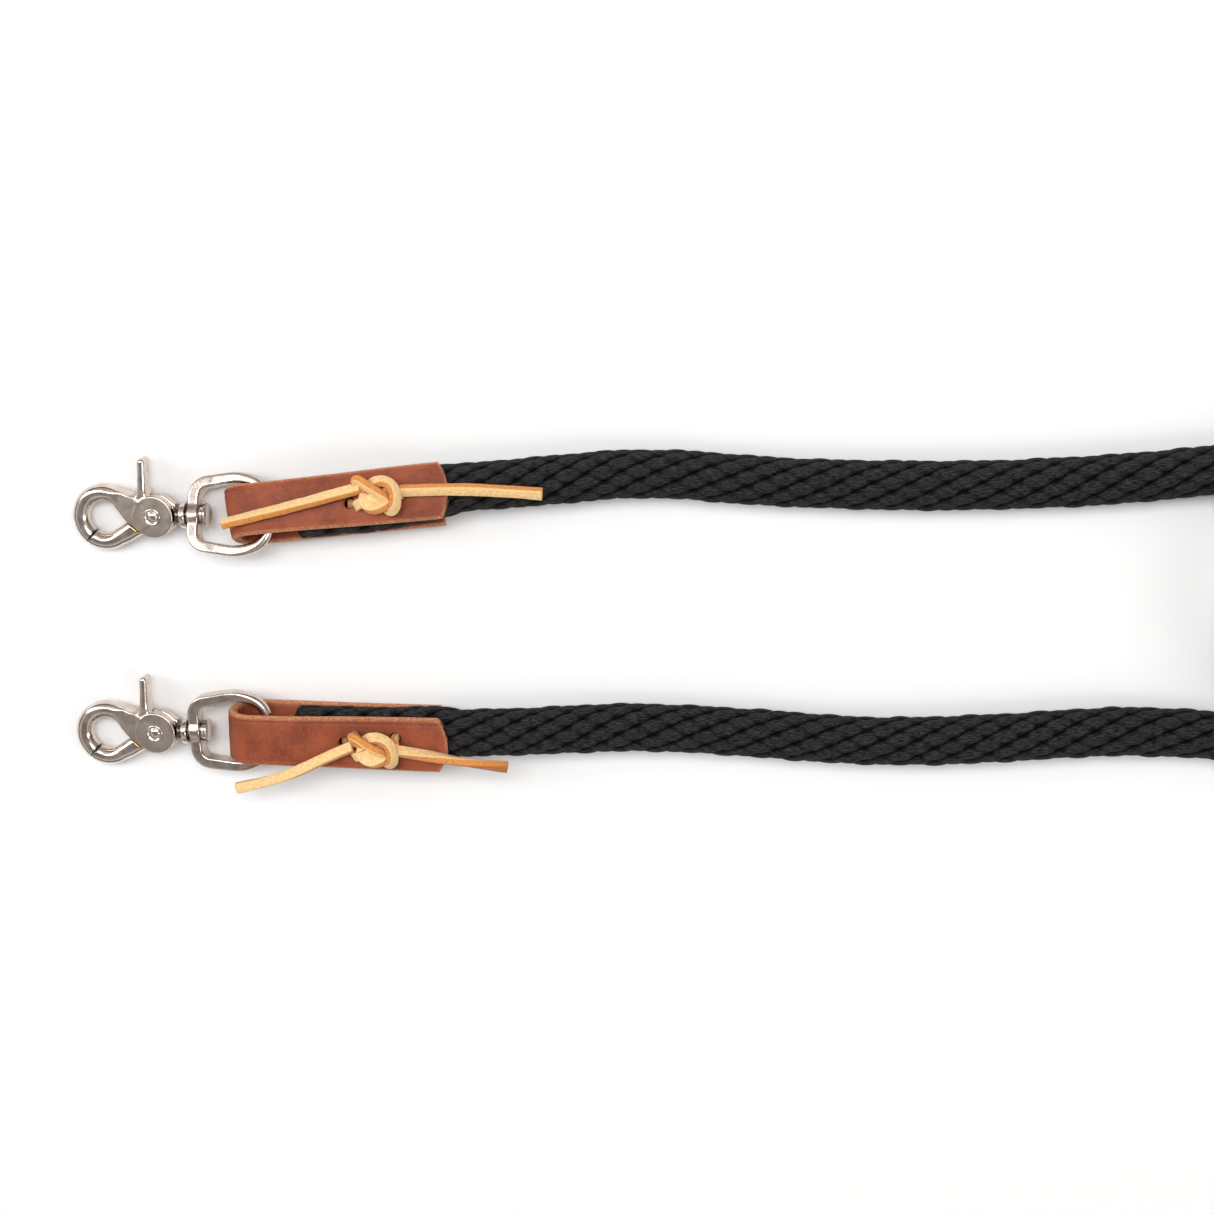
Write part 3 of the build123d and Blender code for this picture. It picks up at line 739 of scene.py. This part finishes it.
# The knot's bands, seen from above: x to the right, y towards the back, z above the leather, and how
# far the flesh side leans, in degrees. Each one's ends lie under another.
KNOT_CENTRE = {"a": (39.3, 0.8), "b": (38.0, -2.0)}
KNOT_SCALE = {"a": 0.94, "b": 0.93}
KNOT_BANDS = (
    (
        (-4.6, 1.2, 1.7, 70), (-7.0, 3.0, 1.9, 70), (-7.6, 4.9, 3.0, 70), (-6.2, 4.9, 4.5, 70),
        (-3.2, 2.9, 5.1, 66), (0.4, 0.7, 4.9, 62), (3.2, -1.1, 3.8, 55), (4.6, -2.6, 2.0, 50),
    ),
    (
        (-3.2, 3.2, 2.2, -20), (-0.9, 4.5, 3.6, -35), (2.3, 4.7, 4.9, -50), (5.2, 3.1, 5.5, -58),
        (6.6, 0.0, 5.4, -58), (6.5, -3.0, 4.6, -50), (5.3, -4.7, 3.1, -35), (3.6, -4.4, 1.8, -10),
        (1.6, -2.4, 1.6, 0),
    ),
    (
        (4.6, -1.6, 2.4, 45), (2.6, -3.3, 3.3, 50), (-0.4, -4.2, 3.5, 35), (-3.2, -3.6, 3.2, 15),
        (-4.9, -1.8, 2.6, 0), (-4.6, 0.6, 1.8, 0),
    ),
    (
        (-8.3, -3.1, -2.0, 10), (-7.2, -2.7, 1.2, 10), (-4.8, -1.9, 2.6, 15), (-1.6, -0.7, 2.9, 20),
        (1.6, 0.6, 2.7, 20), (4.6, 1.6, 2.4, 20), (8.4, 1.4, 2.2, 30),
    ),
)


def knot_place(end):
    """The knot's frame: on the tab's front face, but with the tab's yaw taken out."""
    tab = tab_place(end)
    yaw = math.radians(TAB_YAW[end])
    x = tab.axes[0] * math.cos(yaw) - tab.axes[1] * math.sin(yaw)
    return Place(tab.out((*KNOT_CENTRE[end], TAB_FACE)), x, np.cross(tab.axes[2], x), tab.axes[2])


def lace_staple(left, right):
    """The strand down one hole, across the back and up the other, and how wide and thick it is there."""
    slim, back = 0.83, -2 * TAB_FACE
    rows = (
        (*left[:2], -2.6, slim, slim),
        (*left[:2], -4.0, slim, slim),
        (*left[:2], back + 2.0, slim, slim),
        (left[0] + 0.5, left[1], back - 0.3, 1.0, 0.5),
        (*(2 * left[:2] + right[:2]) / 3, back - 0.62, 1.15, 0.42),
        (*(left[:2] + 2 * right[:2]) / 3, back - 0.62, 1.15, 0.42),
        (right[0] - 0.5, right[1], back - 0.3, 1.0, 0.5),
        (*right[:2], back + 2.0, slim, slim),
        (*right[:2], -4.0, slim, slim),
        (*right[:2], 2.4, slim, slim),
    )
    return np.array(rows)


def add_lace_knot(end, material):
    """The laced part: the knot's bands, the strands through both holes and the bridge on the back."""
    tab, knot = tab_place(end), knot_place(end)
    left, right = (knot.into(tab.out((*hole, TAB_FACE))) for hole in HOLES[end])
    bands = []
    for band in KNOT_BANDS:
        line = free_spline(np.array(band, float))
        line[:, :2] *= KNOT_SCALE[end]
        up = np.broadcast_to(UP, (len(line), 3))
        bands.append((line[:, :3], up, line[:, 3], np.ones((len(line), 2))))
    staple = free_spline(lace_staple(left, right))
    outward = np.sign(staple[:, :1]) * [[1.0, 0.0, 0.0]]
    steep = tangents(staple[:, :3])[:, 2:] ** 2
    guide = outward * steep - UP * (1 - steep)
    bands.append((staple[:, :3], guide, np.zeros(len(staple)), staple[:, 3:5]))
    points, faces, gathered = [], [], {}
    for k, (path, guide, lean, scales) in enumerate(bands):
        along = tangents(path)
        normals = turned(square_to(along, guide), along, lean)
        made, attributes, around = lace_points(path, normals, scales, seed=7 + k)
        faces += tube_faces(len(path), around, base=len(points))
        points.extend(made)
        for key, values in attributes.items():
            gathered.setdefault(key, []).append(np.ravel(values))
    joined = {key: np.concatenate(values) for key, values in gathered.items()}
    piece = add_mesh(f"laced_knot_{end}", knot.out(points), faces, material, joined)
    own(piece, "root", "lace", f"lace_knot_{end}")


def free_spline(rows, steps=12):
    """An open smooth curve through the rows."""
    padded = np.concatenate([[2 * rows[0] - rows[1]], rows, [2 * rows[-1] - rows[-2]]])
    t = np.arange(steps)[:, None] / steps
    spans = []
    for a, b, c, d in zip(padded, padded[1:], padded[2:], padded[3:]):
        bend = 2 * b + (c - a) * t + (2 * a - 5 * b + 4 * c - d) * t**2 + (3 * b - a - 3 * c + d) * t**3
        spans.append(0.5 * bend)
    return np.concatenate([*spans, rows[-1:]])


# --- metal castings ---
# Each casting is a solid field: a function that is negative inside, from which a mesh is drawn. Its
# parts melt together with small fillets, as in a tumbled casting.


def melt(a, b, k):
    """The union of two fields with a fillet of about k."""
    h = np.clip(0.5 + 0.5 * (b - a) / k, 0, 1)
    return b * (1 - h) + a * h - k * h * (1 - h)


def carve(a, b, k):
    """Field a without b, the edge rounded by about k."""
    return -melt(-a, b, k)


def rounded(first, second, radius):
    """The rounded crossing of two slabs, each given by its own signed distance."""
    p, q = first + radius, second + radius
    return np.minimum(np.maximum(p, q), 0) + np.hypot(np.maximum(p, 0), np.maximum(q, 0)) - radius


def polygon_field(x, y, corners):
    """The signed distance to a polygon."""
    corners = np.array(corners, float)
    nearest = np.full(x.shape, np.inf)
    sign = np.ones(x.shape)
    for (ax, ay), (bx, by) in zip(corners, np.roll(corners, 1, 0)):
        ex, ey, wx, wy = bx - ax, by - ay, x - ax, y - ay
        t = np.clip((wx * ex + wy * ey) / (ex * ex + ey * ey), 0, 1)
        nearest = np.minimum(nearest, (wx - ex * t) ** 2 + (wy - ey * t) ** 2)
        above, below = y >= ay, y < by
        left = ex * wy > ey * wx
        sign = np.where((above & below & left) | (~above & ~below & ~left), -sign, sign)
    return sign * np.sqrt(nearest)


def slab(outline, z, low, high, radius):
    """A plan outline given thickness from low to high, its edges rounded."""
    return rounded(outline, np.abs(z - (low + high) / 2) - (high - low) / 2, radius)


def casting_mesh(name, field, box, place, material, marks, step=0.24):
    """Draws the field's surface, as quads pulled on to it, in the row frame."""
    ticks = [np.arange(a, b + step, step) for a, b in zip(*box)]
    x, y, z = np.meshgrid(*ticks, indexing="ij")
    value = field(x, y, z)
    inside = value < 0
    cells = tuple(n - 1 for n in value.shape)
    total = np.zeros(cells, int)
    spot = np.zeros((*cells, 3))
    hits = np.zeros(cells)

    def corner(array, offset):
        return array[tuple(slice(o, o + n) for o, n in zip(offset, cells))]

    for offset in np.ndindex(2, 2, 2):
        total += corner(inside, offset)
        for axis in range(3):
            if offset[axis]:
                continue
            other = tuple(1 if k == axis else o for k, o in enumerate(offset))
            a, b = corner(value, offset), corner(value, other)
            crossed = (a < 0) != (b < 0)
            share = np.where(crossed, a / np.where(crossed, a - b, 1), 0)
            for k in range(3):
                spot[..., k] += np.where(crossed, share if k == axis else offset[k], 0)
            hits += crossed
    mixed = (total > 0) & (total < 8)
    number = np.full(cells, -1)
    number[mixed] = np.arange(mixed.sum())
    index = np.argwhere(mixed)
    points = np.array(box[0]) + (index + spot[mixed] / hits[mixed][:, None]) * step
    quads = []
    for axis in range(3):
        u, v = [k for k in range(3) if k != axis]
        here = tuple(slice(0, -1) if k == axis else slice(1, -1) for k in range(3))
        there = tuple(slice(1, None) if k == axis else slice(1, -1) for k in range(3))
        for start_inside in (True, False):
            found = np.argwhere((inside[here] == start_inside) & (inside[there] != start_inside))
            found = found + [0 if k == axis else 1 for k in range(3)]
            ring = []
            for du, dv in ((1, 1), (0, 1), (0, 0), (1, 0)):
                cell = found.copy()
                cell[:, u] -= du
                cell[:, v] -= dv
                ring.append(number[tuple(cell.T)])
            if start_inside == (axis == 1):
                ring = ring[::-1]
            quads.append(columns(*ring))
    quads = np.concatenate(quads)
    tiny = 0.02
    for _ in range(5):
        here = field(*points.T)
        slope = columns(*((field(*(points + tiny * e).T) - here) / tiny for e in np.eye(3)))
        shift = here[:, None] * slope / np.maximum((slope**2).sum(1, keepdims=True), 0.05)
        points = points - np.clip(shift, -step / 2, step / 2)
    attributes = {key: mark(*points.T) for key, mark in marks.items()}
    return add_mesh(name, place.out(points), quads.tolist(), material, attributes)


# Snap, in its own frame: z is the pivot, x points to the swivel, y to the thumb paddle. The two discs
# meet at FACE_GAP, and each half is hollowed to POCKET_R round the other's disc.
HALF_DEPTH = 3.25
DISC_R = 7.1
POCKET_R = 7.35
FACE_GAP = 0.15
PIN_HOLE_R = 1.65

# The hook's centre and its radii inside and outside, and the corner where its two halves meet
RING = (-17.8, -0.4)
RING_IN = 5.6
RING_OUT = 11.1
TEAR = (-9.3, -1.7)
SEAM = 0.2
JAW_ROUND = 2.45

# Where the two tips meet, in degrees, how far apart they stay, and how deep the notch there is
TIP_ANGLE = 232.0
TIP_GAP = 2.4
NOTCH = 0.4

PADDLE_X = -3.3
PADDLE_TOP = 19.4
PADDLE_LEAN = 0.08
PADDLE_HALF = 1.35
NECK_END = 11.5
STUD_R = 2.0

# A field value well inside, for where a cut doesn't reach
UNCUT = -9.0


def on_ring(radius, angle):
    a = math.radians(angle)
    return (RING[0] + radius * math.cos(a), RING[1] + radius * math.sin(a))


def seam_end():
    """Where the seam, run from the hook's inner corner, touches the pocket round the disc."""
    away = math.hypot(*TEAR)
    heading = math.atan2(-TEAR[1], -TEAR[0]) - math.asin(POCKET_R / away)
    length = math.sqrt(away**2 - POCKET_R**2)
    return (TEAR[0] + length * math.cos(heading), TEAR[1] + length * math.sin(heading))


def past(x, y, angle):
    """Distance past a ray from the hook's centre, at an angle counted anticlockwise."""
    a = math.radians(angle)
    return (y - RING[1]) * math.cos(a) - (x - RING[0]) * math.sin(a)


def hook_plan(x, y, first, last, web):
    """Half the hook in plan: an arc and its web, less the opening, with a notch between the tips."""
    outer = [on_ring(RING_OUT, angle) for angle in np.linspace(first, last, 40)]
    inner = [on_ring(RING_IN, angle) for angle in np.linspace(44, 310, 40)]
    outline = np.maximum(polygon_field(x, y, [*outer, *web]), -polygon_field(x, y, [*inner, TEAR]))
    near = past(x, y, TIP_ANGLE + TIP_GAP / 2) / NOTCH
    return outline + NOTCH * np.exp(-(near**2)) * (x < RING[0])


def seam_side(x, y):
    """Distance above the seam line, which runs from the hook's corner to the pocket."""
    far = seam_end()
    dx, dy = far[0] - TEAR[0], far[1] - TEAR[1]
    return (-(x - TEAR[0]) * dy + (y - TEAR[1]) * dx) / math.hypot(dx, dy)


def lever_field(x, y, z):
    """The moving half: upper hook, web, front disc and thumb paddle."""
    web = [(-10.6, 8.7), (-8.4, 7.5), (-6.2, 6.9), (-2.0, 3.0), (-1.0, -3.0), seam_end(), TEAR, RING]
    outline = hook_plan(x, y, 262, 60, web)
    off_pin = np.hypot(x, y)
    bar = ramp(-x, 9.0, 15.5)
    hook = rounded(outline, np.abs(z) - (HALF_DEPTH - 0.2 * bar), 0.6 + 1.9 * bar)
    tip = (y < -3.0) & (x < -13.0)
    hook = np.maximum(hook, np.where(tip, past(x, y, TIP_ANGLE), UNCUT))
    middle = PADDLE_X + PADDLE_LEAN * (y - 8.0)
    foot = 1.3 * np.exp(-np.maximum(y - 6.8, 0) / 0.9)
    crown = np.maximum(y - (PADDLE_TOP - PADDLE_HALF), 0)
    blade = np.hypot(np.maximum(np.abs(x - middle) - foot, 0), crown) - PADDLE_HALF
    blade = np.maximum(rounded(blade, np.abs(z) - (HALF_DEPTH - 0.15), 1.15), 5.0 - y)
    hook = melt(hook, blade, 0.8)
    hook = carve(hook, np.maximum(off_pin - POCKET_R, z - FACE_GAP), 0.12)
    front = slab(off_pin - DISC_R, z, FACE_GAP, HALF_DEPTH, 0.6)
    lever = carve(melt(hook, front, 0.3), off_pin - PIN_HOLE_R, 0.1)
    above = np.where(off_pin > DISC_R, SEAM - seam_side(x, y), UNCUT)
    return np.maximum(lever, np.where(x > RING[0] + 2.0, above, UNCUT))


def body_field(x, y, z):
    """The half on the swivel: rear disc, fixed lower jaw, neck and flange."""
    web = [(-8.6, -8.5), (-5.2, -6.6), (-2.0, -3.0), (-6.0, 1.0), (-10.0, 1.0), RING]
    outline = hook_plan(x, y, 205, 300, web)
    off_pin, off_neck = np.hypot(x, y), np.hypot(y, z)
    jaw = rounded(outline, np.abs(z) - (HALF_DEPTH - 0.2), JAW_ROUND)
    tip = (x < RING[0]) | (y < RING[1] - 6.0)
    jaw = np.maximum(jaw, np.where(tip, -past(x, y, TIP_ANGLE + TIP_GAP), UNCUT))
    jaw = np.maximum(jaw, np.where(x > TEAR[0] - 1.0, seam_side(x, y) + SEAM, UNCUT))
    jaw = carve(jaw, np.maximum(off_pin - POCKET_R, -FACE_GAP - z), 0.12)
    rear = slab(off_pin - (DISC_R + 0.1), z, -HALF_DEPTH, -FACE_GAP, 0.5)
    body = melt(jaw, rear, 0.3)
    shoulder = polygon_field(x, y, [(2.0, 6.3), (8.4, 3.0), (8.4, -3.0), (2.0, -6.3)])
    shoulder = slab(shoulder, z, -HALF_DEPTH, -FACE_GAP, 0.7)
    body = melt(body, shoulder, 0.6)
    root = rounded(off_neck - 3.1, np.abs(x - 9.1) - 1.5, 0.5)
    root = np.maximum(root, POCKET_R - off_pin)
    body = melt(body, root, 0.8)
    flange = rounded(off_neck - 4.5, np.abs(x - (NECK_END - 1.0)) - 1.0, 0.6)
    body = melt(body, flange, 0.35)
    body = carve(body, off_pin - PIN_HOLE_R, 0.1)
    return carve(body, np.maximum(off_neck - STUD_R - 0.02, NECK_END - 3.0 - x), 0.1)


def lever_satin(x, y, z):
    face = ramp(z, HALF_DEPTH - 0.4, HALF_DEPTH - 0.08)
    return face * (1 - ramp(np.hypot(x + 2.2, y - 0.2), 7.5, 12.5))


def lever_painted_shade(x, y, z):
    """Painted shade in the notch between the tips and at the foot of the paddle."""
    notch = np.exp(-((past(x, y, TIP_ANGLE) / 0.35) ** 2)) * (y < -3.0) * (x < -13.0)
    return np.clip(notch + 0.6 * np.exp(-((np.hypot(x + 6.4, y - 7.4) / 0.9) ** 2)), 0, 1)


def body_satin(x, y, z):
    return ramp(-z, HALF_DEPTH - 0.35, HALF_DEPTH - 0.08) * 0.8


def body_painted_shade(x, y, z):
    """Painted shade in the throat between disc and flange, and in the notch between the tips."""
    throat = ramp(x, 6.4, 7.6) * (1 - ramp(x, 9.0, 9.6)) * (1 - ramp(np.hypot(y, z), 3.6, 4.6))
    notch = np.exp(-((past(x, y, TIP_ANGLE + TIP_GAP) / 0.35) ** 2)) * (x < RING[0]) * (y < 0)
    return np.clip(0.85 * throat + notch, 0, 1)


def body_worn(x, y, z):
    """Where the plate has worn through on the jaw's seam face."""
    return (np.abs(seam_side(x, y) + SEAM) < 0.3) * (x > TEAR[0] - 1.0) * (x < -3.5) * (z > -2.0) * 1.0


def eye_painted_shade(x, y, z):
    """Painted shade round the boss, where the stud turns."""
    return 0.5 * np.exp(-((np.hypot(y, z) - 3.0) ** 2) / 1.5) * (np.abs(x - NEAR_BAR_X) > 1.4)


# Eye, in its own frame: the hinge line is y, the near bar at negative x
NEAR_BAR_X = -25.65
EYE_CORNERS = ((NEAR_BAR_X, 10.1), (-9.0, 12.6), (-0.2, 8.4))
EYE_RADII = (5.0, 15.0, 7.5)
EYE_WIRE_R = 1.8
BOSS_R = 3.7
LATHE_POINTS = 48


def eye_line():
    """The eye's closed centreline, its corners rounded."""
    corners = np.array([*EYE_CORNERS, *[(x, -y) for x, y in reversed(EYE_CORNERS)]])
    sides = zip(corners, np.roll(corners, 1, 0), np.roll(corners, -1, 0))
    points = []
    for (here, before, after), radius in zip(sides, [*EYE_RADII, *reversed(EYE_RADII)]):
        u, v = unit(before - here), unit(after - here)
        half = math.acos(float(u @ v)) / 2
        reach = radius / math.tan(half)
        centre = here + unit(u + v) * radius / math.sin(half)
        first, last = here + u * reach - centre, here + v * reach - centre
        a, b = math.atan2(first[1], first[0]), math.atan2(last[1], last[0])
        sweep = (b - a + math.pi) % (2 * math.pi) - math.pi
        for t in np.linspace(0, 1, 9):
            points.append(centre + radius * np.array([math.cos(a + sweep * t), math.sin(a + sweep * t)]))
    return np.array(points)


def eye_field(x, y, z):
    """A D whose bar is deep and flat where the stud passes and turns into round wire along the arms."""
    line = eye_line()
    best = np.full(x.shape, np.inf)
    for (ax, ay), (bx, by) in zip(line, np.roll(line, -1, 0)):
        ex, ey = bx - ax, by - ay
        t = np.clip(((x - ax) * ex + (y - ay) * ey) / (ex * ex + ey * ey), 0, 1)
        best = np.minimum(best, np.hypot(x - ax - ex * t, y - ay - ey * t))
    deep = ramp(-x, 0.0, 23.0)
    half_depth = EYE_WIRE_R + 1.2 * deep
    half_width = EYE_WIRE_R + 0.1 * deep
    power = 2 + 5 * deep
    flat, tall = np.maximum(best / half_width, 1e-6), np.maximum(np.abs(z) / half_depth, 1e-6)
    wire = ((flat**power + tall**power) ** (1 / power) - 1) * half_width
    boss = rounded(np.hypot(y, z) - BOSS_R, np.abs(x - NEAR_BAR_X) - 1.9, 0.7)
    eye = melt(wire, boss, 0.9)
    bore = np.maximum(np.hypot(y, z) - STUD_R - 0.06, np.abs(x - NEAR_BAR_X) - 4.0)
    return carve(eye, bore, 0.25)


def lathe(name, profile, place, axis, material):
    """A turned piece: profile gives distance along the axis and radius."""
    angle = full_turn(LATHE_POINTS)
    profile = np.array(profile, float)
    along, radius = profile[:, :1] + 0 * angle, profile[:, 1:]
    side, third = radius * np.cos(angle), radius * np.sin(angle)
    order = {"x": (along, side, third), "z": (side, third, along)}[axis]
    faces = [f[::-1] for f in tube_faces(len(profile), LATHE_POINTS)]
    return add_mesh(name, place.out(columns(*order).reshape(-1, 3)), faces, material)


# A set rivet's head: a rolled rim, a groove and a low dome, as heights above the casting and radii
RIVET_HEAD = (
    (0.02, 2.75), (0.2, 2.92), (0.42, 2.86), (0.52, 2.6), (0.44, 2.3), (0.2, 2.08),
    (0.12, 1.92), (0.22, 1.75), (0.42, 1.5), (0.58, 1.15), (0.68, 0.7), (0.72, 0.25),
)

# The stud's shank and its head, which spreads to a rim round its flat end: places along it and radii
STUD = (
    (8.6, 1.9), (8.8, 2.0), (16.0, 2.0), (16.02, 3.1), (16.3, 3.45), (17.0, 3.6), (17.7, 3.75),
    (18.1, 4.0), (18.35, 4.0), (18.5, 3.8), (18.5, 3.1), (18.3, 2.8), (18.3, 0.2),
)


def rivet_profile():
    top = HALF_DEPTH
    upper = [(top + rise, r) for rise, r in RIVET_HEAD]
    lower = [(-a, r) for a, r in reversed(upper)]
    return [*lower, (-top, 2.7), (-top, 1.6), (top, 1.6), (top, 2.7), *upper]


# What each casting's mesh is drawn within, and its marks
LEVER_BOX = ((-29.6, -12.4, -3.7), (7.8, 20.0, 3.7))
BODY_BOX = ((-25.6, -12.4, -5.0), (12.1, 7.8, 5.0))
EYE_BOX = ((-28.6, -15.2, -4.2), (2.6, 15.2, 4.2))
LEVER_MARKS = {"satin": lever_satin, "painted_shade": lever_painted_shade}
BODY_MARKS = {"satin": body_satin, "painted_shade": body_painted_shade, "worn": body_worn}
EYE_MARKS = {"satin": lambda x, y, z: 0.45 + 0 * x, "painted_shade": eye_painted_shade}


def add_snap(end, nickel, spring):
    """Everything from the lever to the eye."""
    snap, eye = snap_place(end), eye_place(end)

    def keep(piece, body, node):
        own(piece, f"{body}_{end}", "nickel_plate", f"{node}_{end}")

    lever = casting_mesh(f"lever_{end}", lever_field, LEVER_BOX, snap, nickel, LEVER_MARKS)
    keep(lever, "lever", "hook_lever")
    body = casting_mesh(f"body_{end}", body_field, BODY_BOX, snap, nickel, BODY_MARKS)
    keep(body, "snap", "snap_body")
    keep(lathe(f"rivet_{end}", rivet_profile(), snap, "z", nickel), "snap", "pivot_rivet")
    keep(lathe(f"stud_{end}", STUD, snap, "x", nickel), "snap", "swivel_stud")
    ring = casting_mesh(f"eye_{end}", eye_field, EYE_BOX, eye, nickel, EYE_MARKS)
    keep(ring, "eye", "swivel_eye")
    coil = frame["nodes"][f"lever_spring_{end}"]
    coil.data.materials.clear()
    coil.data.materials.append(spring)


# --- stage ---

FLOOR_HALF = 6000.0


def add_floor():
    corners = [(x, y, 0.0) for y in (-FLOOR_HALF, FLOOR_HALF) for x in (-FLOOR_HALF, FLOOR_HALF)]
    paint = Shader("floor", (0.86, 0.86, 0.86), 0.9, specular=0.1)
    floor = add_mesh("floor", corners, [(0, 1, 3, 2)], paint.material)


# The point that the lights face, in metres like their places and sizes
LIT_POINT = Vector((0.1, 0.0, 0.0))

# How bright the room is between the horizon, at 0, and straight up, at 1
ROOM_SHADES = ((0.2, 0.08), (0.42, 0.5), (0.62, 1.0), (0.84, 0.3))
ROOM_STRENGTH = 0.75


def add_light(name, place, size, power):
    data = bpy.data.lights.new(name, "AREA")
    data.shape = "RECTANGLE"
    data.size, data.size_y = size
    data.energy = power
    light = add_object(name, data)
    light.location = place
    light.rotation_euler = (LIT_POINT - Vector(place)).to_track_quat("-Z", "Y").to_euler()


def add_lights():
    """A white room that is darker overhead, and three soft lights."""
    world = bpy.data.worlds.new("studio")
    bpy.context.scene.world = world
    world.use_nodes = True
    tree = world.node_tree
    where = tree.nodes.new("ShaderNodeTexCoord")
    split = tree.nodes.new("ShaderNodeSeparateXYZ")
    tree.links.new(where.outputs["Generated"], split.inputs["Vector"])
    shade = tree.nodes.new("ShaderNodeValToRGB")
    stops = shade.color_ramp.elements
    stops[0].color = (0.85, 0.83, 0.81, 1.0)
    stops[1].color = (0.36, 0.345, 0.33, 1.0)
    for position, level in ROOM_SHADES:
        stop = stops.new(position)
        stop.color = (level, level * 0.975, level * 0.95, 1.0)
    tree.links.new(split.outputs["Z"], shade.inputs["Fac"])
    glow = tree.nodes["Background"].inputs
    tree.links.new(shade.outputs["Color"], glow["Color"])
    glow["Strength"].default_value = ROOM_STRENGTH
    add_light("top", (0.1, 0.7, 1.7), (1.4, 0.6), 22.0)
    add_light("left", (-1.3, 0.5, 1.2), (0.5, 1.4), 12.0)
    add_light("right", (1.5, -0.4, 1.3), (0.5, 1.2), 8.0)


# --- build ---

add_camera()
add_floor()
add_lights()

black_rope = rope_material()
russet = leather_material()
thong = lace_material()
nickel = nickel_material()
steel = spring_material()

tapes = add_hank_ties(tie_material())
rope, rope_path, rope_total = add_free_rope(black_rope)
for end in ("a", "b"):
    add_rope_end(end, black_rope, rope_total)
    add_leather_tab(end, russet)
    add_lace_knot(end, thong)
    add_snap(end, nickel, steel)
for which in TAILS:
    add_lace_tail(which, thong)

bpy.context.scene.view_settings.view_transform = "Standard"
